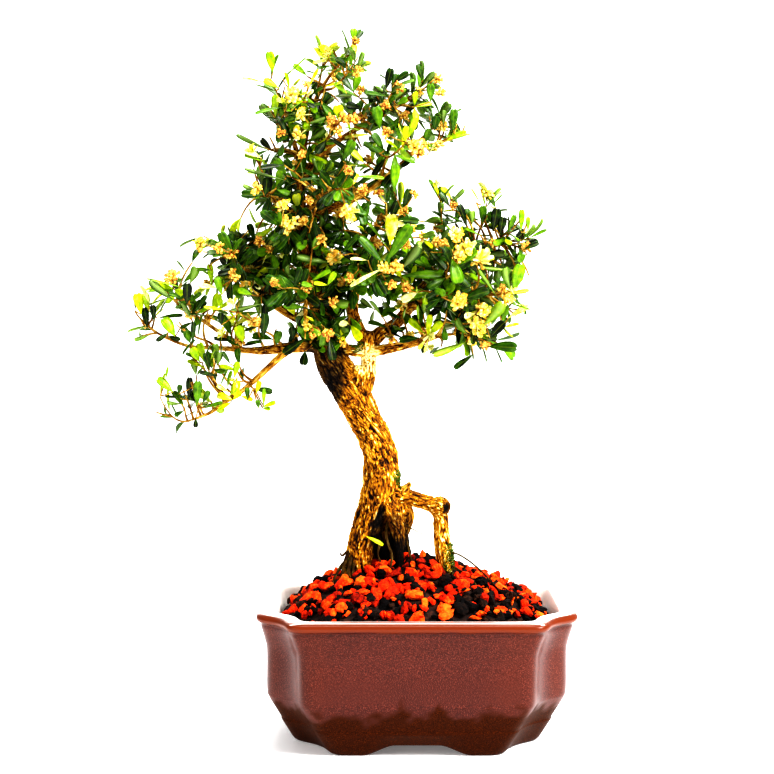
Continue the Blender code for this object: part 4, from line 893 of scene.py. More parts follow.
PLACED_SHOOTS = [               # branch, x and z of the tip, and leaf pairs, for shoots that stand out
    ("left_low", -161, 246, 1), ("left_low", -142, 234, 2), ("left_low", -157, 232, 1),
    ("left_rise", -151, 266, 1), ("left_rise", -128, 274, 2), ("left_rise", -134, 262, 2),
    ("left_low", -119, 246, 1), ("left_mid", -118, 272, 2), ("left_low", -104, 238, 2),
    ("left_low", -88, 244, 2), ("left_low", -80, 236, 2), ("left_low", -101, 252, 1),
    ("droop", -128, 222, 1), ("droop", -121, 218, 1), ("droop", -101, 213, 2), ("droop", -92, 203, 1),
    ("droop", -86, 194, 1), ("droop", -112, 217, 2), ("droop", -107, 203, 2),
    ("left_mid", -122, 280, 2), ("left_mid", -98, 284, 2), ("left_mid", -88, 272, 2),
    ("fork", -30, 292, 2), ("fork", -44, 292, 3), ("leader", -50, 280, 3), ("leader", -48, 262, 3),
    ("leader", -44, 300, 3), ("fork", -42, 262, 3), ("fork", -20, 262, 3), ("fork", -46, 276, 3),
    ("right_low", 4, 245, 3), ("right_low", 14, 226, 1), ("right_low", 30, 222, 1),
    ("right_low", -8, 242, 3),
    ("right_mid", -8, 262, 3), ("right_mid", 58, 262, 2), ("right_mid", 62, 252, 1),
    ("right_front", 34, 242, 2), ("right_front", 48, 238, 2), ("upper_right", 14, 356, 2),
    ("upper_right", 22, 338, 1), ("upper_mid", -10, 376, 2), ("upper_left", -80, 352, 2),
    ("upper_left", -72, 372, 1), ("left_high", -92, 334, 2), ("leader", -72, 318, 3),
    ("leader", -60, 336, 3), ("leader", -46, 322, 3), ("upper_right", -30, 330, 3),
    ("leader", -66, 300, 3), ("leader", -76, 288, 3), ("left_mid", -78, 262, 3), ("left_mid", -70, 272, 3),
    ("right_mid", 20, 310, 3), ("right_mid", 24, 302, 3), ("right_mid", 34, 308, 2),
    ("right_mid", 60, 299, 2),
    ("right_mid", 66, 285, 2), ("fork", -4, 293, 3), ("fork", 2, 288, 2), ("upper_mid", 10, 378, 2),
    ("upper_mid", 6, 372, 2), ("front_low", -40, 236, 3), ("right_low", -20, 244, 3),
    ("right_low", -8, 236, 2), ("right_low", 2, 231, 2), ("right_low", 16, 221, 1),
    ("right_low", 46, 226, 1), ("right_front", 56, 244, 2),
    ("upper_right", 4, 340, 2), ("upper_right", 22, 346, 2), ("upper_right", -10, 326, 2),
    ("leader", -84, 338, 3), ("leader", -76, 342, 2), ("leader", -74, 328, 3), ("upper_mid", -33, 368, 2),
    ("left_mid", -125, 285, 2), ("left_low", -99, 230, 2), ("left_low", -112, 230, 1),
    ("left_mid", -96, 292, 2), ("right_mid", -12, 252, 3), ("right_low", 1, 241, 3),
    ("left_low", -101, 238, 2), ("leader", -62, 379, 2), ("droop", -100, 216, 1),
    ("right_mid", 44, 297, 3), ("right_mid", 36, 290, 3), ("right_mid", 52, 291, 3),
    ("right_mid", 45, 305, 2),
]


def stem_curve(start, heading, tip, count):
    """Points on a quadratic curve that sets out along a heading and ends at the tip."""
    bend = start + heading * np.linalg.norm(tip - start) * 0.5
    t = np.linspace(0, 1, count)[:, None]
    return (1 - t) ** 2 * start + 2 * t * (1 - t) * bend + t ** 2 * tip


def twig_curve(origin, along, elbow, heading, count):
    """Points on a cubic curve that leaves a branch along it and ends straight in a heading."""
    pull = 0.4 * np.linalg.norm(elbow - origin)
    t = np.linspace(0, 1, count)[:, None]
    return ((1 - t) ** 3 * origin + 3 * t * (1 - t) ** 2 * (origin + along * pull)
            + 3 * t ** 2 * (1 - t) * (elbow - heading * pull) + t ** 3 * elbow)


def in_pads(points, grown):
    """Whether each point lies in a pad whose half widths are grown by so many millimetres."""
    inside = np.zeros(len(points), bool)
    for middle, half, _ in PADS:
        inside |= (((points - middle) / (np.array(half) + grown)) ** 2).sum(axis=1) < 1
    return inside


def seen_flat(points):
    """The x and z where lines from the eye to the points meet the plane y = 0."""
    seen = SEEN_FROM + (points - SEEN_FROM) * (SEEN_FROM[1] / (SEEN_FROM[1] - points[..., 1:2]))
    return seen[..., [0, 2]]


def in_outline(points):
    """Whether each point lies inside the crown's outline, clear of its openings, seen from the front.

    A point is inside when a line to its right crosses the outline an odd number of times.
    """
    seen = seen_flat(points)
    x, z = seen[..., :1], seen[..., 1:]
    (ax, az), (bx, bz) = CROWN_OUTLINE.T, np.roll(CROWN_OUTLINE, -1, axis=0).T
    spans = (az > z) != (bz > z)
    at = ax + (bx - ax) * (z - az) / np.where(bz == az, 1e-9, bz - az)
    inside = (spans & (x < at)).sum(axis=-1) % 2 == 1
    for middle_x, middle_z, half_x, half_z in CLEARINGS:
        inside &= ((x[..., 0] - middle_x) / half_x) ** 2 + ((z[..., 0] - middle_z) / half_z) ** 2 > 1
    return inside


# Each spray's stem, with the curve that carries it out of its branch. A kept shoot is a CAD node's stem.
Shoot = namedtuple("Shoot", "branch start heading tip nodes seed youth kept")
shoots = []
twig_paths = []
for index, (name, (branch, start, tip)) in enumerate(SPRAYS.items()):
    tip = np.array(tip, float)
    rows = np.array(BRANCHES[branch])[:, :3]
    if start is None:
        start, heading = rows[-1], unit(rows[-1] - rows[-2])
        carrier = np.empty((0, 4))
    else:
        start = np.array(start, float)
        heading = unit(0.5 * (start + tip) - (0, 0, SPRAY_SAG * np.linalg.norm(tip - start)) - start)
        fine = smooth_path(BRANCHES[branch], 4)
        nearest = int(np.argmin(np.linalg.norm(fine[:, :3] - start, axis=1)))
        nearest = min(max(nearest - 3, 1), len(fine) - 3)
        elbow = start - heading * TWIG_END
        leave = unit(fine[nearest + 1, :3] - fine[nearest, :3])
        curve = twig_curve(fine[nearest, :3], leave, elbow, heading, STEM_POINTS)
        girths = np.linspace(min(fine[nearest, 3] * 0.8, TWIG_STOUTEST), STEM_BASE, STEM_POINTS)
        carrier = np.column_stack([curve, girths])
    start = start + heading * GAP
    stem = stem_curve(start, heading, tip, STEM_POINTS)
    stem = np.column_stack([stem, np.linspace(STEM_BASE, STEM_THIN, STEM_POINTS)])
    twig_paths.append(np.vstack([carrier, stem]))
    nodes = min(max(round(np.linalg.norm(tip - start) / NODE_SPACING), 2), NODES_MOST)
    shoots.append(Shoot(branch, start, heading, tip, nodes, SPRAY_SEED + index, 0.0, True))

# Short side shoots, low on each spray's stem.
rng = np.random.default_rng(64)
short_paths = []
for shoot, path in list(zip(shoots, twig_paths)):
    for _ in range(SIDE_SHOOTS):
        line = path[-STEM_POINTS:, :3]
        at = rng.integers(1, 8)
        along = unit(line[at + 1] - line[at])
        aside = unit(np.cross(along, rng.normal(size=3)))
        heading = unit(along * rng.uniform(0.3, 0.9) + aside + (0, 0, 0.35))
        start = line[at] + heading * 0.4
        tip = start + unit(heading + (0, 0, 0.25) + rng.normal(0, 0.12, 3)) * rng.uniform(*SIDE_LENGTH)
        girths = np.linspace(*SHORT_RADII, 6)
        short_paths.append(np.column_stack([stem_curve(start, heading, tip, 6), girths]))
        shoots.append(Shoot(shoot.branch, start, heading, tip, 2, SHOOT_SEED + len(shoots), SIDE_YOUTH,
                            False))

# Short shoots out of the branches, which fill the pads and stand where they are placed.
carrier_names = [name for name, path in limbs.items() for _ in path[2:-1]]
carrier_points = np.vstack([path[2:-1] for path in limbs.values()])
carrier_along = np.vstack([unit(np.gradient(path[:, :3], axis=0))[2:-1] for path in limbs.values()])
wanted = []
for middle, half, number in PADS:
    inside = unit(rng.normal(size=(number, 3))) * rng.uniform(0, 1, (number, 1)) ** (1 / 2.5)
    for tip in middle + inside * half:
        wanted.append((tip, None, 3, rng.random() * PAD_YOUTH))
for branch, x, z, pairs in PLACED_SHOOTS:
    line = limbs[branch]
    y = line[np.argmin(np.hypot(line[:, 0] - x, line[:, 2] - z)), 1]
    wanted.append((np.array([x, y - PLACED_FORWARD, z]), branch, pairs, PLACED_YOUTH))
for tip, branch, pairs, youth in wanted:
    away = np.linalg.norm(carrier_points[:, :3] - tip, axis=1)
    away += THICK_AVOIDED * (carrier_points[:, 3] > THICK_WOOD)
    if branch:
        away[[name != branch for name in carrier_names]] = 1e3
    nearest = int(np.argmin(away))
    origin, along = carrier_points[nearest, :3], carrier_along[nearest]
    toward = unit(tip - origin)
    reach = np.linalg.norm(tip - origin)
    if reach > REACH_MOST and not branch:
        tip = origin + toward * REACH_MOST
    if reach < REACH_LEAST:
        tip = origin + toward * REACH_LEAST
    heading = unit(toward + rng.uniform(-0.2, 0.8) * along + rng.normal(0, 0.22, 3) + (0, 0, 0.15))
    start = origin + toward * carrier_points[nearest, 3] * 0.4
    girths = np.linspace(min(0.9, carrier_points[nearest, 3] * 0.7), SHORT_THIN, 9)
    short_paths.append(np.column_stack([stem_curve(start, heading, tip, 9), girths]))
    # Shoots deep inside a pad are given no youth, so fewer of their leaves are lime: painted shade in the
    # heart of the crown.
    shaded_in_pad = in_pads(tip[None], -DEEP_IN_PAD)[0]
    shoots.append(Shoot(carrier_names[nearest], start, heading, tip, pairs, SHOOT_SEED + len(shoots),
                        0.0 if shaded_in_pad else youth, False))

# Leaves
# Leathery evergreen blades of Harland box, narrow and widest near the blunt, notched end, in pairs a
# quarter turn apart. They grow glossy and dark, and this year's are lime.
LEAF_LONG, LEAF_SHORT = 15.5, 11.0
LEAF_WIDE, LEAF_WIDE_VARIES = 0.34, 0.08
YOUNG_LONG, YOUNG_SHORT, YOUNG_WIDE, YOUNG_WIDE_VARIES = 13.5, 8.5, 0.44, 0.14
YOUNG_SPACING, YOUNG_FIRST, YOUNG_SPLAY_VARIES = 6.5, 0.35, 34.0
YOUNG_TIP_LESS, YOUNG_RISE, YOUNG_LEVEL = 0.35, 0.5, 0.45       # shorter at the tip, and how they rise
SPLAY_LOW, SPLAY_LESS, SPLAY_VARIES = 68.0, 30.0, 22.0      # degrees from the stem, and less at its tip
LEAF_CURL_LEAST, LEAF_CURL_VARIES, LEAF_TWIST_VARIES = -0.06, 0.24, 30.0
LEAF_THICK, LEAF_CROWN, LEAF_FOLD = 0.34, 0.10, 0.22        # mm, and shares of the half width
PAIR_APART = 1.7                # how far each of two pairs moves along the stem from their node
CROWN_MIDDLE = (-45.0, 12.0, 270.0)
LEAF_STATIONS = [               # share of the length, share of the width
    (0.0, 0.14), (0.08, 0.17), (0.20, 0.42), (0.38, 0.72), (0.58, 0.95), (0.76, 1.0), (0.90, 0.86),
    (0.975, 0.56), (1.0, 0.30),
]
LEAF_ACROSS = np.array([-1.0, -0.5, 0.0, 0.5, 1.0, 0.0])    # the ring of one station, the last below
NOTCH, NOTCH_FROM, NOTCH_OVER = 0.049, 0.9, 0.1         # depth, and where it begins, shares of the length
LEAF_LIMITS = np.array([(-164.6, -69.0, 170.0), (76.0, 69.0, 405.0)])
PAD_MARGIN, TIP_CLEARED = 9.0, 0.9      # how far leaves leave their pad, and the share inside the outline
LIME_SIDE = -98.0               # more of the shoots left of it are lime
LIME_ALL, LIME_YOUNG, LIME_LEFT = 0.16, 0.45, 0.30      # chances that a shoot is lime, added up
TONE_LEAST, TONE_VARIES, TONE_TIP = 0.03, 0.30, 0.12    # from dark 0 to pale 1
LIME_TONE, LIME_TIP = 0.24, 0.40
TO_LIGHT, FOOT_OUT = 0.7, 0.5           # how much leaves turn outwards and up, and mm from the stem's middle
STALK_FORWARD, STALK_SAG, STALK_RADII = 4.0, 1.5, (0.42, 0.32)
FORWARD_LEANING, SHOWN_CLEAR, SHOWN_BEHIND = 0.28, 0.8, 2.0
SHOWN_TILT, SHOWN_FACING = 0.22, np.array([0.15, -0.75, 0.65])
CLIPPED_AT = 0.55               # share of a leaf on a kept spray that has to lie inside the outline

SHOWN_LEAVES = [                # x and z of the foot, how far the tip lies across and up, width, and tone,
                                # which is negative where the paler underside is seen
    (-49, 274, -20, 3, 6, -0.3), (-19, 273.4, -13, 14.5, 7.4, 0.26), (-17, 274.6, 13, 20, 7.2, 0.34),
    (-9, 266, 23.5, 2.3, 6.6, 0.38), (-8.7, 270, 10.4, 12.7, 7, -0.12),
    (-18, 271, -19.5, -8.7, 2.8, 0.92), (-15, 284, 1, 17, 7.6, 0.86), (-51, 261, 4, 7, 4, 0.6),
    (-51, 261, -7.5, 1.2, 3.4, 0.7), (-59, 260, -6.5, 2, 4.2, 0.44), (-43, 279, 9.8, 10.4, 4, 0.22),
    (-17, 283, -10.4, 15, 2.2, 0.46), (19, 306, -5.2, 8.1, 4.6, 0.12), (13, 312, -2.9, 7.5, 2.6, 0.75),
    (19.5, 308, 8, 7.5, 3, -0.3), (29, 294, -4, 13, 4.5, 0.08), (38, 296, 0, 10.4, 5, 0.28),
    (44, 292, 2.3, 12.7, 6, 0.08), (48, 290, 1.7, 9.8, 5, 0.08), (60, 292, 0.6, 12, 3.6, 0.5),
    (64, 292, 0, 8, 2.6, 0.55), (65, 288, 9.5, 5, 2.6, 0.4), (62, 281.5, 8, 4, 4.2, 0.14),
    (37, 307, -5.2, 9.3, 1, 0.5), (43, 306, 6.3, 7, 1, 0.4), (32, 296, 0, 7.5, 5, -0.4),
    (20.6, 281.5, -0.6, 7, 4.6, 0.16), (20.6, 276, 3.5, -13.3, 8.2, 0.38), (8, 280, 8.6, -10, 6, 0.14),
    (55, 269.4, -18, 1.7, 3.6, -0.45), (46.6, 254, -11, 16, 2.8, -0.4), (54, 258, -4, 12.7, 5.6, -0.36),
    (56, 257, 3.5, 15.6, 7, 0.48), (51, 255.5, 13.2, 2.9, 3, 0.72), (51, 251.4, 14, -4.2, 1.2, 0.3),
    (53, 242, 10.9, 7.5, 4.4, 0.86), (50, 236.4, 8.6, 2.9, 2.8, 0.8), (50, 240, 1.2, 9.8, 5, 0.4),
    (39, 238, 11, 12.2, 6.8, -0.5), (42.5, 230.6, 7.5, 9, 6.6, 0.04), (29, 233, -6.3, 8.1, 6.4, -0.36),
    (41, 225.6, 16.7, 0, 7.6, 0.22), (28.7, 228.3, -19, -8, 4.8, -0.6), (33, 221, -11, -7.5, 3.8, 0.1),
    (27, 252.6, 13.8, 6, 7.6, 0.18), (-158.5, 244.5, -1.5, 11.6, 6, 0.72),
    (-155, 236.4, -1, 11.6, 4.4, 0.08), (-151, 240.4, -0.4, 9.3, 3.6, 0.1),
    (-139, 231.5, -6.0, 10.5, 8.0, 0.54), (-149, 242, 14.4, 2.9, 2.8, 0.2),
    (-153.6, 232.3, -8.6, -2.9, 3, -0.5), (-140, 252.6, -13.2, 10.4, 5.6, -0.26),
    (-134, 259.5, -20, 5.2, 1.8, 0.5), (-132, 249.7, 0.6, 12, 5.6, 0.04),
    (-130, 262, 4, 9.3, 5.2, -0.36), (-117.6, 269.4, -8, 1, 2.8, 0.3),
    (-117.6, 261.3, -0.6, 11.6, 3.8, 0.56), (-114, 259.5, -11, 1.2, 3.8, 0.9),
    (-112, 255.5, -2.3, 9.8, 5.2, 0.46), (-94.6, 255.5, -7.5, 3, 5.2, 0.52),
    (-127, 245.6, 5.8, 9.3, 3.2, 0.18), (-124.5, 246.8, 3.5, 4.6, 2.8, 0.1),
    (-134.3, 253.2, -7.5, 3.5, 3.2, 0.24), (-110.7, 246.8, -11, 1.7, 2.8, 0.76),
    (-112, 248, -1.7, 5.2, 4.2, 0.62), (-89, 250.3, -17.9, -4.6, 4.2, -0.2),
    (-91, 237, -7.5, -1.7, 2.6, 0.08), (-88.2, 230.6, 1.2, 13.9, 5.6, 0.16),
    (-80.7, 226.5, 1.7, 8.1, 4.8, 0.3), (-71, 229.4, -0.6, 7.5, 4.6, 0.12),
    (-112.4, 238, 0, 7, 3.8, 0.1), (-129, 227.7, 1.2, 12.2, 3, 0.1), (-130.3, 227.7, -2.3, 7, 5.2, 0.3),
    (-128.5, 239.8, -7, -3.5, 2.4, 0.12), (-99.7, 227.7, -2.9, 9.8, 6.6, 0.64),
    (-106, 228.8, -10.4, 1.7, 3, 0.1), (-98.6, 228, 9.8, 0.6, 2.2, 0.25),
    (-125, 216.7, -4, 8.1, 5.4, 0.56), (-119.3, 212, -1.7, 9.8, 4.4, 0.2),
    (-114.7, 215, 1.7, 7.5, 4.2, -0.3), (-107.2, 215.5, -4, 7, 2.6, 0.2),
    (-114.7, 208.6, -9.8, 2.3, 3.2, 0.14), (-105, 208, 2.3, 8.7, 3.8, 0.6),
    (-108.4, 199.3, -6.3, 4, 3.2, 0.85), (-107.2, 197.6, 4.6, 7.5, 5, 0.6),
    (-108.4, 195.8, -6.3, 1.7, 4.2, 0.8), (-106, 194.7, 4.6, 4.6, 3.4, 0.76),
    (-140.6, 199.3, -8, 8, 6.4, 0.56), (-144.7, 206.3, 1.7, 7.5, 1.4, 0.5),
    (-131.4, 194.7, 1, 13.3, 4, 0.04), (-126.8, 191.2, 1.2, 14.5, 5.2, 0.34),
    (-123.4, 193, 4, 7, 3.4, 0.24), (-137.2, 198.2, 1.2, 5.2, 3.2, 0.2),
    (-135.5, 192.4, -8.6, 0.6, 2.6, -0.4), (-134.3, 188.3, -5.2, -2.3, 2.8, 0.24),
    (-136, 195.8, -8.6, 1.7, 1.8, 0.12), (-127.4, 184.2, 0, -5.2, 2.8, 0.05),
    (-122.2, 190, 9.8, 4, 2.6, 0.3), (-91, 190, -0.6, 4.6, 3, 0.3), (-88.2, 191.2, 0.6, 9.8, 2.4, 0.5),
    (-88.8, 190.6, 7.5, 2.9, 3.2, 0.66), (-88.8, 190, 4.6, -0.6, 2.8, 0.6),
    (-97.4, 194.7, 0, 7, 3, 0.24), (-92.3, 198.7, 2.3, 7, 3.2, 0.7), (-93, 287, -3, 9, 5, 0.14),
    (-64, 230, -12, -8, 5.4, 0.06), (-64, 223, -1, -8, 5, 0.08), (-50, 230, 2, -12, 5.6, 0.08),
    (-82, 382, -1.7, 11.6, 5.2, 0.56), (-78.4, 373, -8.6, 4.6, 5.2, 0.6),
    (-86.5, 376.5, -13.2, 2.3, 2, 0.86), (-76, 378, 12.7, 12.7, 1, 0.46),
    (-75.6, 362.6, -16, -2.9, 3, 0.36), (-73.8, 347, -5.2, 9.8, 4.2, 0.1),
    (-88.8, 333.6, -9.2, 4.6, 5.2, 0.92), (-84.8, 338.3, -17.9, 8.1, 3.8, -0.26),
    (-88.8, 332, -9.2, 3.5, 3.2, 0.5), (-75.6, 329.6, -13.2, -1.7, 4.2, 0.08),
    (-75.6, 321, -22, 6.2, 2.8, -0.2), (-91, 315, -8, 2.9, 3.4, -0.3),
    (-86.5, 311.6, 1.2, 10.4, 5.2, 0.08), (-35.8, 400, 0, 6.6, 4.2, 0.48),
    (-34, 383.4, 4, 9.8, 3.2, -0.36), (-37, 382.3, -8, 8.1, 5.2, 0.16),
    (-35.8, 370.7, -8.6, 11, 5.6, 0.2), (-61.2, 374.2, 4.6, 9.3, 2, 0.76),
    (-43.6, 354.5, -1.2, 8.7, 6, 0.66), (-61.7, 353.3, 9.8, 2.9, 4, -0.3),
    (-61.2, 344, 9.8, 5.2, 5.2, -0.36), (-20.8, 350, -2.3, 12.2, 6.6, 0.36),
    (-18.5, 337.7, -6.3, 9.3, 5.2, 0.26), (-42, 332, 5.8, 11, 6, 0.34),
    (-26, 347, -15, -1.2, 2.6, 0.84), (-12.8, 314.5, 0.8, 15, 5.8, 0.42),
    (-35.8, 323.2, 16.7, -0.6, 2.8, 0.46), (-17.4, 372.4, 2.9, 11.6, 4.6, 0.06),
    (-13.3, 376, 8.6, 5.8, 4.8, 0.12), (-16.2, 368.4, -13.2, 2.3, 3.6, 0.26),
    (-11, 363.7, 5.8, 3.5, 5.2, 0.42), (-31.2, 361.4, -8.6, 2.3, 6, 0.05),
    (3.4, 377.6, -2.9, 9, 4.6, 0.18), (8, 365.5, 0, 9.8, 5, 0.34), (10.3, 349.3, 1.2, 8, 5, 0.2),
    (15.5, 352, 0, 8.7, 3.6, -0.3), (21, 349.3, 0.6, 11.6, 4.8, 0.3), (17, 343.5, 11, 5.2, 4.6, 0.56),
    (-52, 374, 9.2, 2.3, 2.8, 0.72),
    (-38, 296, 10, 8, 5.0, 0.22), (-27, 309, -7, -9, 5.0, 0.20), (-34, 309, 4, -13, 5.0, 0.25),
    (-24, 297, -9, 6, 5.0, 0.22), (-30, 296, 1, 12, 5.0, 0.30), (-39, 304, 10, -2, 4.5, 0.28),
    (5, 232.9, -8.7, 8.7, 5.5, 0.66), (6.2, 231.7, 8.6, 8.1, 5.0, 0.68), (6.5, 232, 1.5, 12, 4.0, 0.72),
    (5.7, 230, -4.6, -6, 2.4, 0.86), (6.8, 229.5, -1.7, -7, 2.2, 0.84),
    (-106, 194.7, -8, 3.5, 4.5, 0.78), (-105, 196, 2, 10, 4.5, 0.76), (-101, 197, 6.5, -2, 3.5, 0.78),
    (-107, 193, -7, -3, 3.6, 0.70), (-40, 370, -6, 6, 4.5, 0.5), (-36, 371, 3, 9, 4.5, 0.42),
]
FOOT, AHEAD, UPPER = slice(0, 3), slice(3, 6), slice(6, 9)      # the columns of a leaf's row of numbers
LONG, WIDE, CURL, TWIST, TONE = range(9, 14)


def along_leaf(rows, share):
    """A place on each leaf's midrib at a share of its length, as if it were straight."""
    return rows[..., FOOT] + rows[..., AHEAD] * rows[..., LONG, None] * share


def node_frames(start, bend, tip, middle):
    """Two directions across a stem and the one along it, just below each node.

    The stem is a quadratic curve, and the direction along it is the curve's slope,
    2 (1 - t) (bend - start) + 2 t (tip - bend).
    """
    step = NODE_HALF / float(np.linalg.norm(tip - start))
    t = np.concatenate([[0.0], np.column_stack([middle - step, middle + step]).ravel(), [1.0 + step * 2]])
    t = t[:, None]
    along = unit(2 * (1 - t) * (bend - start) + 2 * t * (tip - bend))
    side, up = across(along)
    return side[1:-1:2, None], up[1:-1:2, None], along[1:-1:2, None]


def shoot_leaves(shoot):
    """The leaves of a shoot: rows of foot, direction, upper side, length, width, curl, twist and tone.

    They stand at nodes along the stem's quadratic curve, splayed less towards the tip, and turn their
    upper sides to the light. A long stem has two pairs at each node, and a short one has one pair, a
    quarter turn on from the last. Sizes and turns are drawn at random from the shoot's seed.
    """
    _, start, heading, tip, count, seed, youth, kept = shoot
    length = float(np.linalg.norm(tip - start))
    bend = start + heading * length * 0.5
    draw_from = np.random.default_rng(seed)
    draw = draw_from.random((count, 4, 5))
    phase = draw_from.random() * math.pi / 2
    first = NODE_FIRST if kept else max(YOUNG_FIRST, 1 - YOUNG_SPACING * (count - 1) / length)
    middle = np.linspace(first, NODE_LAST if kept else 1.0, count) if count > 1 else np.array([1.0])
    side, up, axis = node_frames(start, bend, tip, middle)
    turn = (phase + math.pi / 2 * np.arange(4))[None, :, None]
    out = np.cos(turn) * side + np.sin(turn) * up
    apart = (PAIR_APART if kept else 0) / length
    t = middle[:, None, None] + apart * np.array([1, -1, 1, -1])[None, :, None]
    point = (1 - t) ** 2 * start + 2 * t * (1 - t) * bend + t ** 2 * tip
    share = (np.linspace(0, 1, count) if count > 1 else np.ones(1))[:, None]
    splay = np.radians(SPLAY_LOW - SPLAY_LESS * share + SPLAY_VARIES * (draw[..., 0] - 0.5))[..., None]
    long = LEAF_SHORT + (LEAF_LONG - LEAF_SHORT) * draw[..., 1]
    wide = long * (LEAF_WIDE + LEAF_WIDE_VARIES * draw[..., 2])
    if not kept:
        long = YOUNG_SHORT + (YOUNG_LONG - YOUNG_SHORT) * draw[..., 1] * (1 - YOUNG_TIP_LESS * share)
        wide = long * (YOUNG_WIDE + YOUNG_WIDE_VARIES * (draw[..., 2] - 0.6))
        splay = splay + np.radians(YOUNG_SPLAY_VARIES) * (draw[..., 3:4] - 0.5)
    direction = np.sin(splay) * out + np.cos(splay) * axis
    upper = np.sin(splay) * axis - np.cos(splay) * out
    if not kept:
        direction = unit(direction + (0, 0, YOUNG_RISE) * (draw[..., 4:5] - YOUNG_LEVEL))
    light = unit(point - CROWN_MIDDLE) * TO_LIGHT + (0, 0, TO_LIGHT)
    upper = upper + light * (0.5 if kept else 1.0)
    upper = unit(upper - direction * (upper * direction).sum(axis=-1, keepdims=True))
    lime = draw_from.random() < (LIME_ALL + LIME_YOUNG * youth * (not kept)
                                 + LIME_LEFT * (tip[0] < LIME_SIDE))
    tone = (TONE_LEAST + TONE_VARIES * draw[..., 2] ** 1.5 + TONE_TIP * share
            + lime * (LIME_TONE + LIME_TIP * share * draw[..., 0]))
    tone = np.clip(tone, 0, 1)
    numbers = np.stack([long, wide, LEAF_CURL_LEAST + LEAF_CURL_VARIES * draw[..., 3],
                        np.radians(LEAF_TWIST_VARIES) * (draw[..., 4] - 0.5), tone], axis=-1)
    rows = np.concatenate([point + out * FOOT_OUT, direction, upper, numbers], axis=-1)
    if kept:
        rows = rows.reshape(-1, TONE + 1)
        return rows[in_outline(along_leaf(rows, CLIPPED_AT))]
    turned = (np.arange(count)[:, None] + np.arange(4)[None]) % 2 == 0
    rows = rows[turned]
    reached = along_leaf(rows, 1.0)
    inside = (reached > LEAF_LIMITS[0]).all(axis=1) & (reached < LEAF_LIMITS[1]).all(axis=1)
    inside &= in_outline(along_leaf(rows, TIP_CLEARED))
    return rows[inside] if youth == PLACED_YOUTH else rows[inside & in_pads(reached, PAD_MARGIN)]


def leaf_blades(rows):
    """Points of leaves, a ring of six for each station, from rows as shoot_leaves gives them.

    The midrib is the direction times s less the upper side times curl times s squared over the
    length; the blade turns about it by twist from foot to tip. Each half is crowned, the two fold up
    a little along the midrib, and the tip's middle is drawn back into a notch.
    """
    foot, direction, upper = rows[:, None, FOOT], rows[:, None, AHEAD], rows[:, None, UPPER]
    long, wide, curl, twist = (rows[:, None, k, None] for k in (LONG, WIDE, CURL, TWIST))
    share, breadth = np.array(LEAF_STATIONS).T[:, None, :, None]
    s = share * long
    middle = foot + direction * s - upper * curl * s * s / long
    normal = unit(upper + direction * 2 * curl * s / long)
    wing = np.cross(direction, upper)
    turn = twist * share
    wing, normal = np.cos(turn) * wing + np.sin(turn) * normal, np.cos(turn) * normal - np.sin(turn) * wing
    half = wide * breadth / 2
    c = LEAF_ACROSS[None, None, :, None]
    crown = LEAF_CROWN * (1 - np.abs(2 * np.abs(c) - 1)) + LEAF_FOLD * np.abs(c)
    below = np.array([0, 0, 0, 0, 0, LEAF_THICK])[None, None, :, None]
    ring = middle[:, :, None] + wing[:, :, None] * half[:, :, None] * c
    ring = ring + normal[:, :, None] * (half[:, :, None] * crown - below * np.minimum(half[:, :, None], 1))
    notch = NOTCH * long * np.clip((share - NOTCH_FROM) / NOTCH_OVER, 0, 1)
    return ring - direction[:, :, None] * notch[:, :, None] * (1 - np.abs(c))


# Living box leaf: a waxy skin over dense green tissue, so the eye sees pale glare on the crowned upper
# side, a lighter midrib, light coming through the blade, and a matt, paler underside.
LEAF_MOTTLE = 3.0
leaf_green, tree, shader = new_material("waxy_box_leaf", {
    "IOR": 1.42, "Roughness": 0.40, "Coat Weight": 0.08, "Coat Roughness": 0.22, "Specular IOR Level": 0.3,
    "Subsurface Weight": 0.10, "Subsurface Radius": (0.6, 1.0, 0.25), "Subsurface Scale": 1.2 * MM})
place = add(tree, "TexCoord").outputs["Object"]
tone = add(tree, "Attribute", attribute_name="tone").outputs["Fac"]
beside = add(tree, "Attribute", attribute_name="beside_midrib").outputs["Fac"]
under = add(tree, "Attribute", attribute_name="under").outputs["Fac"]
mottle = add(tree, "TexNoise", {"Vector": place, "Scale": 1 / (LEAF_MOTTLE * MM), "Detail": 3.0})
green = add(tree, "ValToRGB", {"Fac": swayed(tree, tone, mottle, 0.2, 0.10)},
            [(0.05, "#0b1801"), (0.24, "#2f5202"), (0.44, "#628a06"), (0.62, "#98b40a"), (0.80, "#cacc14"),
             (1.0, "#fdf8b4")])
rib = add(tree, "MapRange", {"Value": beside, "From Min": 0.14, "From Max": 0.03, "To Max": 0.15})
ribbed = add(tree, "Mix", {"Factor": rib, "A": green, "B": "#b0bc3a"}, data_type="RGBA")
pale = add(tree, "MapRange", {"Value": under, "From Min": 0.1, "From Max": 0.6, "To Max": 0.45})
both_sides = add(tree, "Mix", {"Factor": pale, "A": ribbed, "B": "#98ab62"}, data_type="RGBA")
vein = add(tree, "Bump", {"Height": mottle, "Strength": 0.25, "Distance": 0.3 * MM})
plug(shader, {"Base Color": both_sides, "Normal": vein})

leaf_sets = [shoot_leaves(shoot) for shoot in shoots]
bearing = [path for path, shoot, rows in zip(twig_paths + short_paths, shoots, leaf_sets)
           if shoot.kept or len(rows)]
rough_tubes("twigs", bearing, 6, 60)

leaf_rows = np.concatenate(leaf_sets)
seats = leaf_rows[:, FOOT]
stalks = []


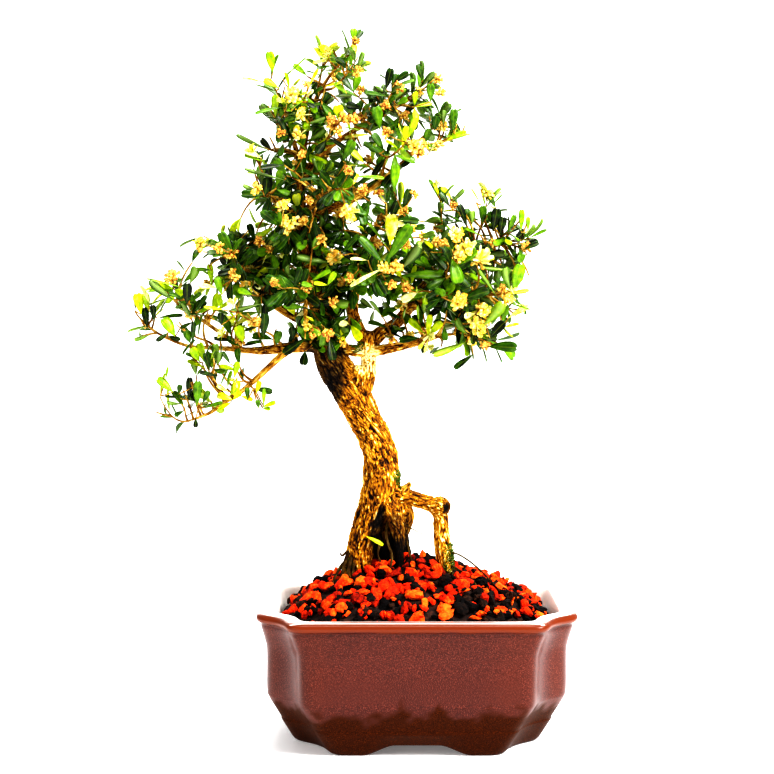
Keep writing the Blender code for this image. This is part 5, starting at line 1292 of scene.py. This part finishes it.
def stalk_to(x, z):
    """The leaf row at a place seen from the front, moved to the end of a stalk from the stem behind.

    The stem is the nearest to the place as seen, with a leaning for those well forward in the crown.
    """
    away = np.linalg.norm(seen_flat(seats) - (x, z), axis=1)
    row = leaf_rows[int(np.argmin(away + FORWARD_LEANING * seats[:, 1]))].copy()
    y = row[1] - STALK_FORWARD
    scale = 1 - y / SEEN_FROM[1]
    end = np.array([SEEN_FROM[0] + (x - SEEN_FROM[0]) * scale, y, SEEN_FROM[2] + (z - SEEN_FROM[2]) * scale])
    curve = stem_curve(row[FOOT], unit(end - row[FOOT] - (0, 0, STALK_SAG)), end, 6)
    stalks.append(np.column_stack([curve, np.linspace(*STALK_RADII, 6)]))
    row[FOOT] = end
    return row


def hides(rows, shown):
    """Whether each leaf hides one of the shown leaves from the eye.

    It does when one of three places along it is nearer and, as seen, less than half the other's
    width and a little from the other's midrib.
    """
    places = along_leaf(rows[:, None], np.array([[0.2], [0.6], [1.0]]))
    flat = seen_flat(places)[:, :, None]
    foot = seen_flat(shown[:, FOOT])
    line = seen_flat(along_leaf(shown, 1.0)) - foot
    t = np.clip(((flat - foot) * line).sum(axis=-1) / (line ** 2).sum(axis=-1), 0, 1)
    gap = np.linalg.norm(flat - foot - t[..., None] * line, axis=-1)
    nearer = places[:, :, None, 1] < shown[:, 1] + SHOWN_BEHIND
    return (nearer & (gap < shown[:, WIDE] / 2 + SHOWN_CLEAR)).any(axis=(1, 2))


rng = np.random.default_rng(19)
shown_rows = []
for x, z, across_by, up_by, wide, tone in SHOWN_LEAVES:
    seat = stalk_to(x, z)
    ahead = np.array([across_by, -SHOWN_TILT * math.hypot(across_by, up_by), up_by])
    facing = SHOWN_FACING * np.sign(tone)
    facing = facing - unit(ahead) * (unit(ahead) * facing).sum()
    shown_rows.append([*seat[FOOT], *unit(ahead), *unit(facing), np.linalg.norm(ahead), wide,
                       rng.uniform(0.0, 0.15), rng.normal(0, 0.15), abs(tone)])
shown_rows = np.array(shown_rows)
leaf_sets = [rows[~hides(rows, shown_rows)] for rows in leaf_sets]

leaf_face_ring = ring_faces(len(LEAF_STATIONS), len(LEAF_ACROSS))
leaf_size = len(LEAF_STATIONS) * len(LEAF_ACROSS)


def make_leaves(name, rows):
    """A piece of leaf blades, with each leaf's tone and the place beside and below its midrib."""
    beside_midrib = np.tile([1.0, 0.5, 0.0, 0.5, 1.0, 0.5], len(LEAF_STATIONS))
    below_blade = np.tile([0, 0, 0, 0, 0, 1.0], len(LEAF_STATIONS))
    faces = [[leaf * leaf_size + corner for corner in face]
             for leaf in range(len(rows)) for face in leaf_face_ring]
    return make_piece(name, leaf_blades(rows), faces, leaf_green, "boxwood_leaf",
                      tone=np.repeat(rows[:, TONE], leaf_size), under=np.tile(below_blade, len(rows)),
                      beside_midrib=np.tile(beside_midrib, len(rows)))


make_leaves("leaves_in_front", shown_rows)
for branch in BRANCHES:
    rows = np.concatenate([rows for shoot, rows in zip(shoots, leaf_sets) if shoot.branch == branch])
    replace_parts(make_leaves("leaves_" + branch, rows),
                *["spray_" + name for name, spray in SPRAYS.items() if spray[0] == branch])

# Flowers
# Scentless flowers in small heads in the leaf axils: narrow cream petals, thick filaments and yellow
# anthers that turn gold and brown as they fade. Each head stands on a short stalk.
STAMENS, PETALS, PART_SIDES = 12, 12, 5
HEADS_FREE, HEADS_ABOVE, HEAD_SCALE, HEAD_STANDS = 90, 226.0, 1.35, 1.2
SPIKE = [(0.0, 0.34), (0.55, 0.26), (0.68, 0.55), (0.86, 0.62), (1.0, 0.2)]       # filament and anther
PETAL = [(0.0, 0.30), (0.35, 0.9), (0.7, 1.0), (1.0, 0.3)]
TUFTS = [                       # x, z and reach of the pale tufts of opening shoots
    (-66, 368, 7.5), (-74, 364, 6.5), (-66, 357, 7.0),
    (-67, 345, 7.0), (-51, 389, 4.0), (-93, 336, 6.0), (8, 337, 5.5),
    (-75, 305, 6.0), (-72, 296, 6.0), (-39, 302, 8.0), (-14, 294, 8.0), (11, 317, 5.0), (40, 311, 6.5),
    (28, 280, 8.0), (36, 275, 8.5), (22, 289, 5.5), (-46, 274, 6.0), (34, 237, 8.5), (24, 252, 5.5),
    (38, 246, 6.0), (-122, 284, 6.5), (-139, 265, 4.5), (60, 247, 5.0), (7, 232, 5.5), (-96, 262, 5.5),
    (-104, 250, 5.0), (-111, 232, 4.5), (-104, 206, 5.0), (54, 257, 5.0), (6, 226, 5.0),
]
TUFT_LEAVES, TUFT_SPREAD = 12, 0.62
HEADS = [                       # x and z of heads that show, their size and how gold they are
    (-42, 355, 1.1, 0.9), (-36, 354, 1.0, 1.0), (-45, 347, 1.0, 0.8), (-17, 347, 1.0, 0.9),
    (-34, 381, 1.0, 0.9), (-32, 371, 0.9, 0.9), (-11, 372, 1.0, 1.0), (-7, 356, 1.0, 0.9),
    (11, 377, 0.9, 0.9), (3, 340, 0.9, 1.0), (-39, 325, 1.0, 1.0), (-31, 314, 1.0, 0.9),
    (-22, 312, 1.0, 1.0), (-65, 334, 0.9, 0.9), (-61, 308, 1.0, 0.8), (-2, 312, 0.8, 0.7),
    (21, 305, 0.9, 0.9), (-89, 285, 1.0, 0.9), (-81, 262, 0.9, 0.9), (-48, 251, 1.0, 0.9),
    (-38, 265, 1.0, 0.9), (-23, 284, 1.0, 0.8), (-54, 286, 1.0, 0.7), (-15, 260, 1.0, 0.9),
    (-6, 259, 1.0, 0.9), (11, 284, 1.0, 0.8), (16, 283, 1.1, 0.8), (48, 257, 1.0, 0.9),
    (-59, 234, 1.2, 0.9), (-51, 234, 1.2, 1.0), (-63, 259, 1.0, 0.8), (-113, 282, 1.0, 0.7),
    (38, 227, 1.0, 0.9), (-51, 392, 0.8, 0.4), (13, 369, 1.0, 0.3), (-70, 367, 1.4, 0.1),
    (-66, 357, 1.3, 0.1), (-67, 345, 1.3, 0.3), (-76, 305, 1.2, 0.2), (-73, 295, 1.4, 0.2),
    (-39, 301, 1.6, 0.2), (-122, 284, 1.4, 0.3), (-15, 294, 1.2, 0.3),
    (40, 311, 1.2, 0.2), (22, 288, 1.2, 0.3), (-46, 276, 1.5, 0.4), (-13, 270, 1.3, 0.7),
    (-19, 271, 1.0, 0.4),
    (27, 281, 1.6, 0.1), (35, 274, 1.5, 0.4), (24, 276, 1.2, 0.3), (23.5, 251, 1.5, 0.5),
    (37, 246, 1.2, 0.2),
    (34, 237, 1.6, 0.1), (52, 252, 1.2, 0.3), (-139, 265, 1.2, 0.8), (12, 340, 0.9, 0.6), (1, 335, 0.9, 0.9),
    (-96, 262, 1.2, 0.2), (-103, 267, 1.3, 0.8),
    (-64, 297, 1.0, 0.7), (-7, 283, 0.9, 0.9), (11, 293, 0.8, 1.0), (30, 229, 1.0, 0.2),
    (-91, 315, 1.1, 0.4),
    (-77, 347, 0.9, 1.0), (-62, 374, 0.7, 0.8), (-1, 339, 1.4, 0.4), (-35, 398, 0.8, 1.0),
    (-49, 354, 1.0, 1.0),
]


def turned_forms(base, axis, length, breadth, profile, sides):
    """Points and faces of small turned forms: rings of a profile of shares, carried along an axis."""
    side = unit(np.cross(axis, np.where(np.abs(axis[:, 2:]) < 0.8, (0, 0, 1), (1, 0, 0))))
    up = np.cross(axis, side)
    s, r = np.array(profile).T
    angle = 2 * math.pi * np.arange(sides) / sides
    ring = (np.cos(angle)[None, None, :, None] * side[:, None, None]
            + np.sin(angle)[None, None, :, None] * up[:, None, None])
    points = (base[:, None, None] + axis[:, None, None] * (s[None, :] * length[:, None])[..., None, None]
              + ring * (r[None, :] * breadth[:, None])[..., None, None])
    size = len(profile) * sides
    faces = [[form * size + corner for corner in face]
             for form in range(len(base)) for face in ring_faces(len(profile), sides)]
    return points.reshape(-1, 3), faces


# Petals and anthers: thin, matt and dusty with pollen, so the eye sees soft cream and gold points.
FLOWER_DUST = 1.2
flower, tree, shader = new_material("box_flower_petal", {
    "Roughness": 0.6, "Subsurface Weight": 0.1, "Subsurface Scale": 0.6 * MM})
place = add(tree, "TexCoord").outputs["Object"]
toward = add(tree, "Attribute", attribute_name="toward_tip").outputs["Fac"]
gold = add(tree, "Attribute", attribute_name="gold").outputs["Fac"]
dust = add(tree, "TexNoise", {"Vector": place, "Scale": 1 / (FLOWER_DUST * MM), "Detail": 2.0})
level = swayed(tree, toward, dust, 0.2, 0.15)
fresh = add(tree, "ValToRGB", {"Fac": level},
            [(0.05, "#8a5606"), (0.30, "#eed03a"), (0.62, "#fff8ae"), (0.95, "#f0b818")])
faded = add(tree, "ValToRGB", {"Fac": level},
            [(0.05, "#683804"), (0.35, "#bc7e14"), (0.68, "#f6d868"), (0.95, "#96500c")])
aged = add(tree, "Mix", {"Factor": gold, "A": fresh, "B": faded}, data_type="RGBA")
plug(shader, {"Base Color": aged})

rng = np.random.default_rng(9)
picked = [stalk_to(x, z) for x, z, _, _ in HEADS]
bearing = leaf_rows[seats[:, 2] > HEADS_ABOVE]
picked += list(bearing[rng.integers(0, len(bearing), HEADS_FREE)])
picked = np.array(picked)
sizes = [size for _, _, size, _ in HEADS] + rng.uniform(0.8, 1.2, HEADS_FREE).tolist()
sizes = np.array(sizes) * HEAD_SCALE
golds = np.array([age for *_, age in HEADS] + (1 - rng.uniform(0, 1, HEADS_FREE) ** 2).tolist())
outwards = unit(picked[:, AHEAD] * 0.4 + unit(picked[:, FOOT] - CROWN_MIDDLE) + (0, -0.3, 0.5))
head = picked[:, FOOT] + outwards * HEAD_STANDS


def head_parts(count, profile, lean, spread, lengths, breadth, reach):
    """So many stamens or petals on every head, turned forms about axes spread round the head's own.

    Gives their points and faces, and for each point how far along it lies, up to a reach, and how
    gold its head is.
    """
    base = np.repeat(head, count, axis=0)
    axis = unit(np.repeat(outwards, count, axis=0) * lean + rng.normal(0, spread, base.shape))
    size = np.repeat(sizes, count)
    long = rng.uniform(*lengths, len(base)) * size
    points, faces = turned_forms(base, axis, long, breadth * size, profile, PART_SIDES)
    toward_tip = np.tile(np.repeat([s * reach for s, _ in profile], PART_SIDES), len(base))
    return points, faces, toward_tip, np.repeat(np.repeat(golds, count), len(profile) * PART_SIDES)


stamens = head_parts(STAMENS, SPIKE, 0.7, 0.62, (2.2, 3.4), 1.0, 1.0)
petals = head_parts(PETALS, PETAL, 0.25, 0.7, (1.7, 2.6), 0.68, 0.6)
petal_faces = [[corner + len(stamens[0]) for corner in face] for face in petals[1]]
make_piece("flower_heads", np.vstack([stamens[0], petals[0]]), stamens[1] + petal_faces, flower,
           "boxwood_leaf", toward_tip=np.concatenate([stamens[2], petals[2]]),
           gold=np.concatenate([stamens[3], petals[3]]))

# Opening shoots: short sheaves of narrow leaves, still pale yellow, on stalks like those of the heads.
tuft_rows = []
for x, z, reach in TUFTS:
    seat = stalk_to(x, z)
    away = unit(seat[AHEAD] * 0.4 + unit(seat[FOOT] - CROWN_MIDDLE) + (0, -0.3, 0.6))
    spread = unit(away + rng.normal(0, TUFT_SPREAD, (TUFT_LEAVES, 3)))
    upper = unit(np.cross(np.cross(spread, away + (0.01, 0, 0)), spread))
    long = reach * rng.uniform(0.6, 1.05, TUFT_LEAVES)
    tuft_rows.append(np.column_stack([
        np.tile(seat[FOOT] + away * 0.6, (TUFT_LEAVES, 1)), spread, upper, long, 0.27 * long + 0.5,
        rng.uniform(-0.1, 0.3, TUFT_LEAVES), rng.normal(0, 0.3, TUFT_LEAVES),
        rng.uniform(0.78, 1.05, TUFT_LEAVES)]))
make_leaves("opening_shoots", np.concatenate(tuft_rows))

rough_tubes("stalks", stalks, 5, 80)

# Roots and moss
# Fine roots and dark, wet ones at the left leg, laid bare as the heap washed down, tufts of moss that
# grow on the damp bark, and one leaf that fell between the legs.
THIN_ROOTS = [                  # rows of x, y, z and radius
    [(-12, -5, 126, 0.7), (-6, -6, 122.6, 0.45), (0, -7, 119.4, 0.3), (8, -8, 115.6, 0.2)],
    [(-10, -6, 122, 0.7), (-6, -7, 118, 0.55), (-5, -8, 112, 0.5), (-3.4, -9, 105, 0.5),
     (-1.5, -11, 97, 0.5)],
    [(18, -4, 104, 1.0), (22, -6, 106.4, 0.55), (29, -9, 103.4, 0.5), (37, -13, 97.4, 0.5),
     (44, -18, 90.5, 0.5), (51, -24, 83.5, 0.5), (55, -28, 78, 0.5)],
    [(19, -5, 100, 0.9), (25, -10, 97, 0.5), (32, -18, 93, 0.5), (36, -25, 87, 0.4)],
    [(-24, 2, 122, 1.2), (-21, -4, 113, 0.9), (-22, -8, 106, 0.7), (-19, -11, 99, 0.6)],
    [(-16, -4, 124, 1.2), (-17, -7, 115, 0.9), (-14, -10, 106, 0.8), (-15, -13, 98, 0.6)],
]
DARK_ROOTS = [
    [(-38, -4, 108, 1.2), (-40.5, -6, 103, 1.2), (-42, -8, 97.5, 1.1), (-43, -10, 90, 0.9)],
    [(-37, -5, 105, 1.2), (-38.5, -8, 100, 1.2), (-39.5, -11, 94, 0.9), (-41, -14, 88, 0.6)],
    [(-40, -3, 102, 1.2), (-43.6, -5, 98, 1.0), (-46.4, -8, 93.5, 0.7), (-49, -10, 88, 0.5)],
    [(-36, -6, 101, 1.2), (-36.4, -9, 96, 0.9), (-37, -12, 90, 0.6)],
    [(-40, -5, 107, 0.9), (-42.6, -6, 105, 0.7), (-44, -7, 106.6, 0.4)],
]
ROOT_STAIN = 0.85               # how wet and dark the roots are
MOSS_SPOTS = [                  # x, y, z, radius and number of shoots
    (20.5, -5, 100, 6.0, 260), (19.5, -6, 108, 4.0, 120), (-11, -6, 151, 3.4, 80), (-10, -5, 147, 2.6, 50),
    (14, -6, 96, 4.0, 80), (-40, -6, 99, 4.0, 60), (-34, -6, 226, 4.0, 70),
]
MOSS_SHOOT = [(0.0, 0.7), (0.4, 1.0), (1.0, 0.1)]
FALLEN_FOOT, FALLEN_TIP = np.array([-29.0, -9.6, 116.8]), np.array([-18.6, -10.6, 112.2])
FALLEN_FACING = np.array([0.1, -0.8, 0.6])
FALLEN_WIDE, FALLEN_CURL, FALLEN_TWIST, FALLEN_TONE = 3.4, 0.12, 0.3, 0.72

rough_tubes("thin_roots", [smooth_path(rows, 6) for rows in THIN_ROOTS], 6, 70, ROOT_STAIN)
rough_tubes("dark_roots", [smooth_path(rows, 6) for rows in DARK_ROOTS], 8, 74, ROOT_STAIN)

# Moss: soft and translucent, hundreds of tiny blades, so the eye sees a matt yellow-green nap.
MOSS_PATCH = 1.5
moss, tree, shader = new_material("cushion_moss", {
    "Roughness": 0.9, "Subsurface Weight": 0.1, "Subsurface Scale": 0.5 * MM})
place = add(tree, "TexCoord").outputs["Object"]
patch = add(tree, "TexNoise", {"Vector": place, "Scale": 1 / (MOSS_PATCH * MM), "Detail": 3.0})
shade = add(tree, "ValToRGB", {"Fac": patch}, [(0.30, "#20300a"), (0.50, "#48660f"), (0.72, "#8b9a1c")])
plug(shader, {"Base Color": shade})
rng = np.random.default_rng(31)
seated = []
for x, y, z, radius, number in MOSS_SPOTS:
    near = np.flatnonzero(np.linalg.norm(skin - (x, y, z), axis=1) < radius)
    seated.append(rng.choice(near, number) if len(near) else near)
seated = np.concatenate(seated)
base = skin[seated] + rng.normal(0, 0.25, (len(seated), 3)) - outward[seated] * 0.3
lean = unit(outward[seated] + (0, 0, 0.5) + rng.normal(0, 0.35, (len(seated), 3)))
moss_long, moss_wide = rng.uniform(1.0, 2.1, len(seated)), rng.uniform(0.25, 0.42, len(seated))
points, faces = turned_forms(base, lean, moss_long, moss_wide, MOSS_SHOOT, 4)
make_piece("moss", points, faces, moss, "boxwood_leaf")

ahead = unit(FALLEN_TIP - FALLEN_FOOT)
facing = unit(FALLEN_FACING - ahead * (ahead * FALLEN_FACING).sum())
fallen = [*FALLEN_FOOT, *ahead, *facing, np.linalg.norm(FALLEN_TIP - FALLEN_FOOT), FALLEN_WIDE,
          FALLEN_CURL, FALLEN_TWIST, FALLEN_TONE]
make_leaves("fallen_leaf", np.array([fallen]))

# Studio
# A plain pale floor in an even room, with one softbox at the right front, a weaker fill at the left, one
# overhead and a low one behind, all plain white light.
CAMERA_DIP, CAMERA_LENS, CAMERA_SENSOR = 4.163, 80.74, 36.0         # degrees, and millimetres
FLOOR_HALF, ROOM_LIGHT = 1.6, 0.34                       # metres, and strength
LIGHTS_AIM = (0.0, 0.0, 0.2)    # metres, here and below
SOFTBOXES = {                   # place, side and watts
    "key": ((0.85, -0.65, 1.0), 0.36, 20.0),
    "fill": ((-1.0, -0.9, 0.5), 0.9, 3.2),
    "overhead": ((0.0, 0.1, 1.3), 0.6, 11.0),
    "behind": ((0.0, 1.7, 0.36), 1.3, 18.0),
}
camera = bpy.data.objects.new("camera", bpy.data.cameras.new("camera"))
camera.data.lens = CAMERA_LENS
camera.data.sensor_width = CAMERA_SENSOR
camera.location = (SEEN_FROM + ORIGIN * (1, 0, 1)) * MM
camera.rotation_euler = (math.radians(90 - CAMERA_DIP), 0, 0)
bpy.context.scene.collection.objects.link(camera)
bpy.context.scene.camera = camera

floor_white, tree, shader = new_material("lit_white_acrylic", {
    "Base Color": "#f8f8f8", "Roughness": 0.9, "Emission Color": "#ffffff", "Emission Strength": 0.12})
mesh = bpy.data.meshes.new("floor")
corners = FLOOR_HALF * np.array([(-1, -1, 0), (1, -1, 0), (1, 1, 0), (-1, 1, 0)])
mesh.from_pydata(corners, [], [(0, 1, 2, 3)])
mesh.materials.append(floor_white)
floor = bpy.data.objects.new("floor", mesh)
bpy.context.scene.collection.objects.link(floor)

world = bpy.data.worlds.new("studio")
world.use_nodes = True
tree = world.node_tree
seen = add(tree, "LightPath").outputs["Is Camera Ray"]
strength = add(tree, "MapRange", {"Value": seen, "To Min": ROOM_LIGHT, "To Max": 1.0})
plug(tree.nodes["Background"], {"Color": "#ffffff", "Strength": strength})
bpy.context.scene.world = world
for name, (place, size, power) in SOFTBOXES.items():
    lamp = bpy.data.lights.new(name, "AREA")
    lamp.size = size
    lamp.energy = power
    light = bpy.data.objects.new(name, lamp)
    light.visible_camera = False
    x, y, z = np.subtract(LIGHTS_AIM, place)
    light.location = place
    light.rotation_euler = (math.atan2(math.hypot(x, y), -z), 0, math.atan2(x, -y) + math.pi)
    bpy.context.scene.collection.objects.link(light)
bpy.context.scene.view_settings.view_transform = "Standard"
bpy.context.scene.view_settings.look = "Very High Contrast"
bpy.context.scene.view_settings.exposure = 0.3
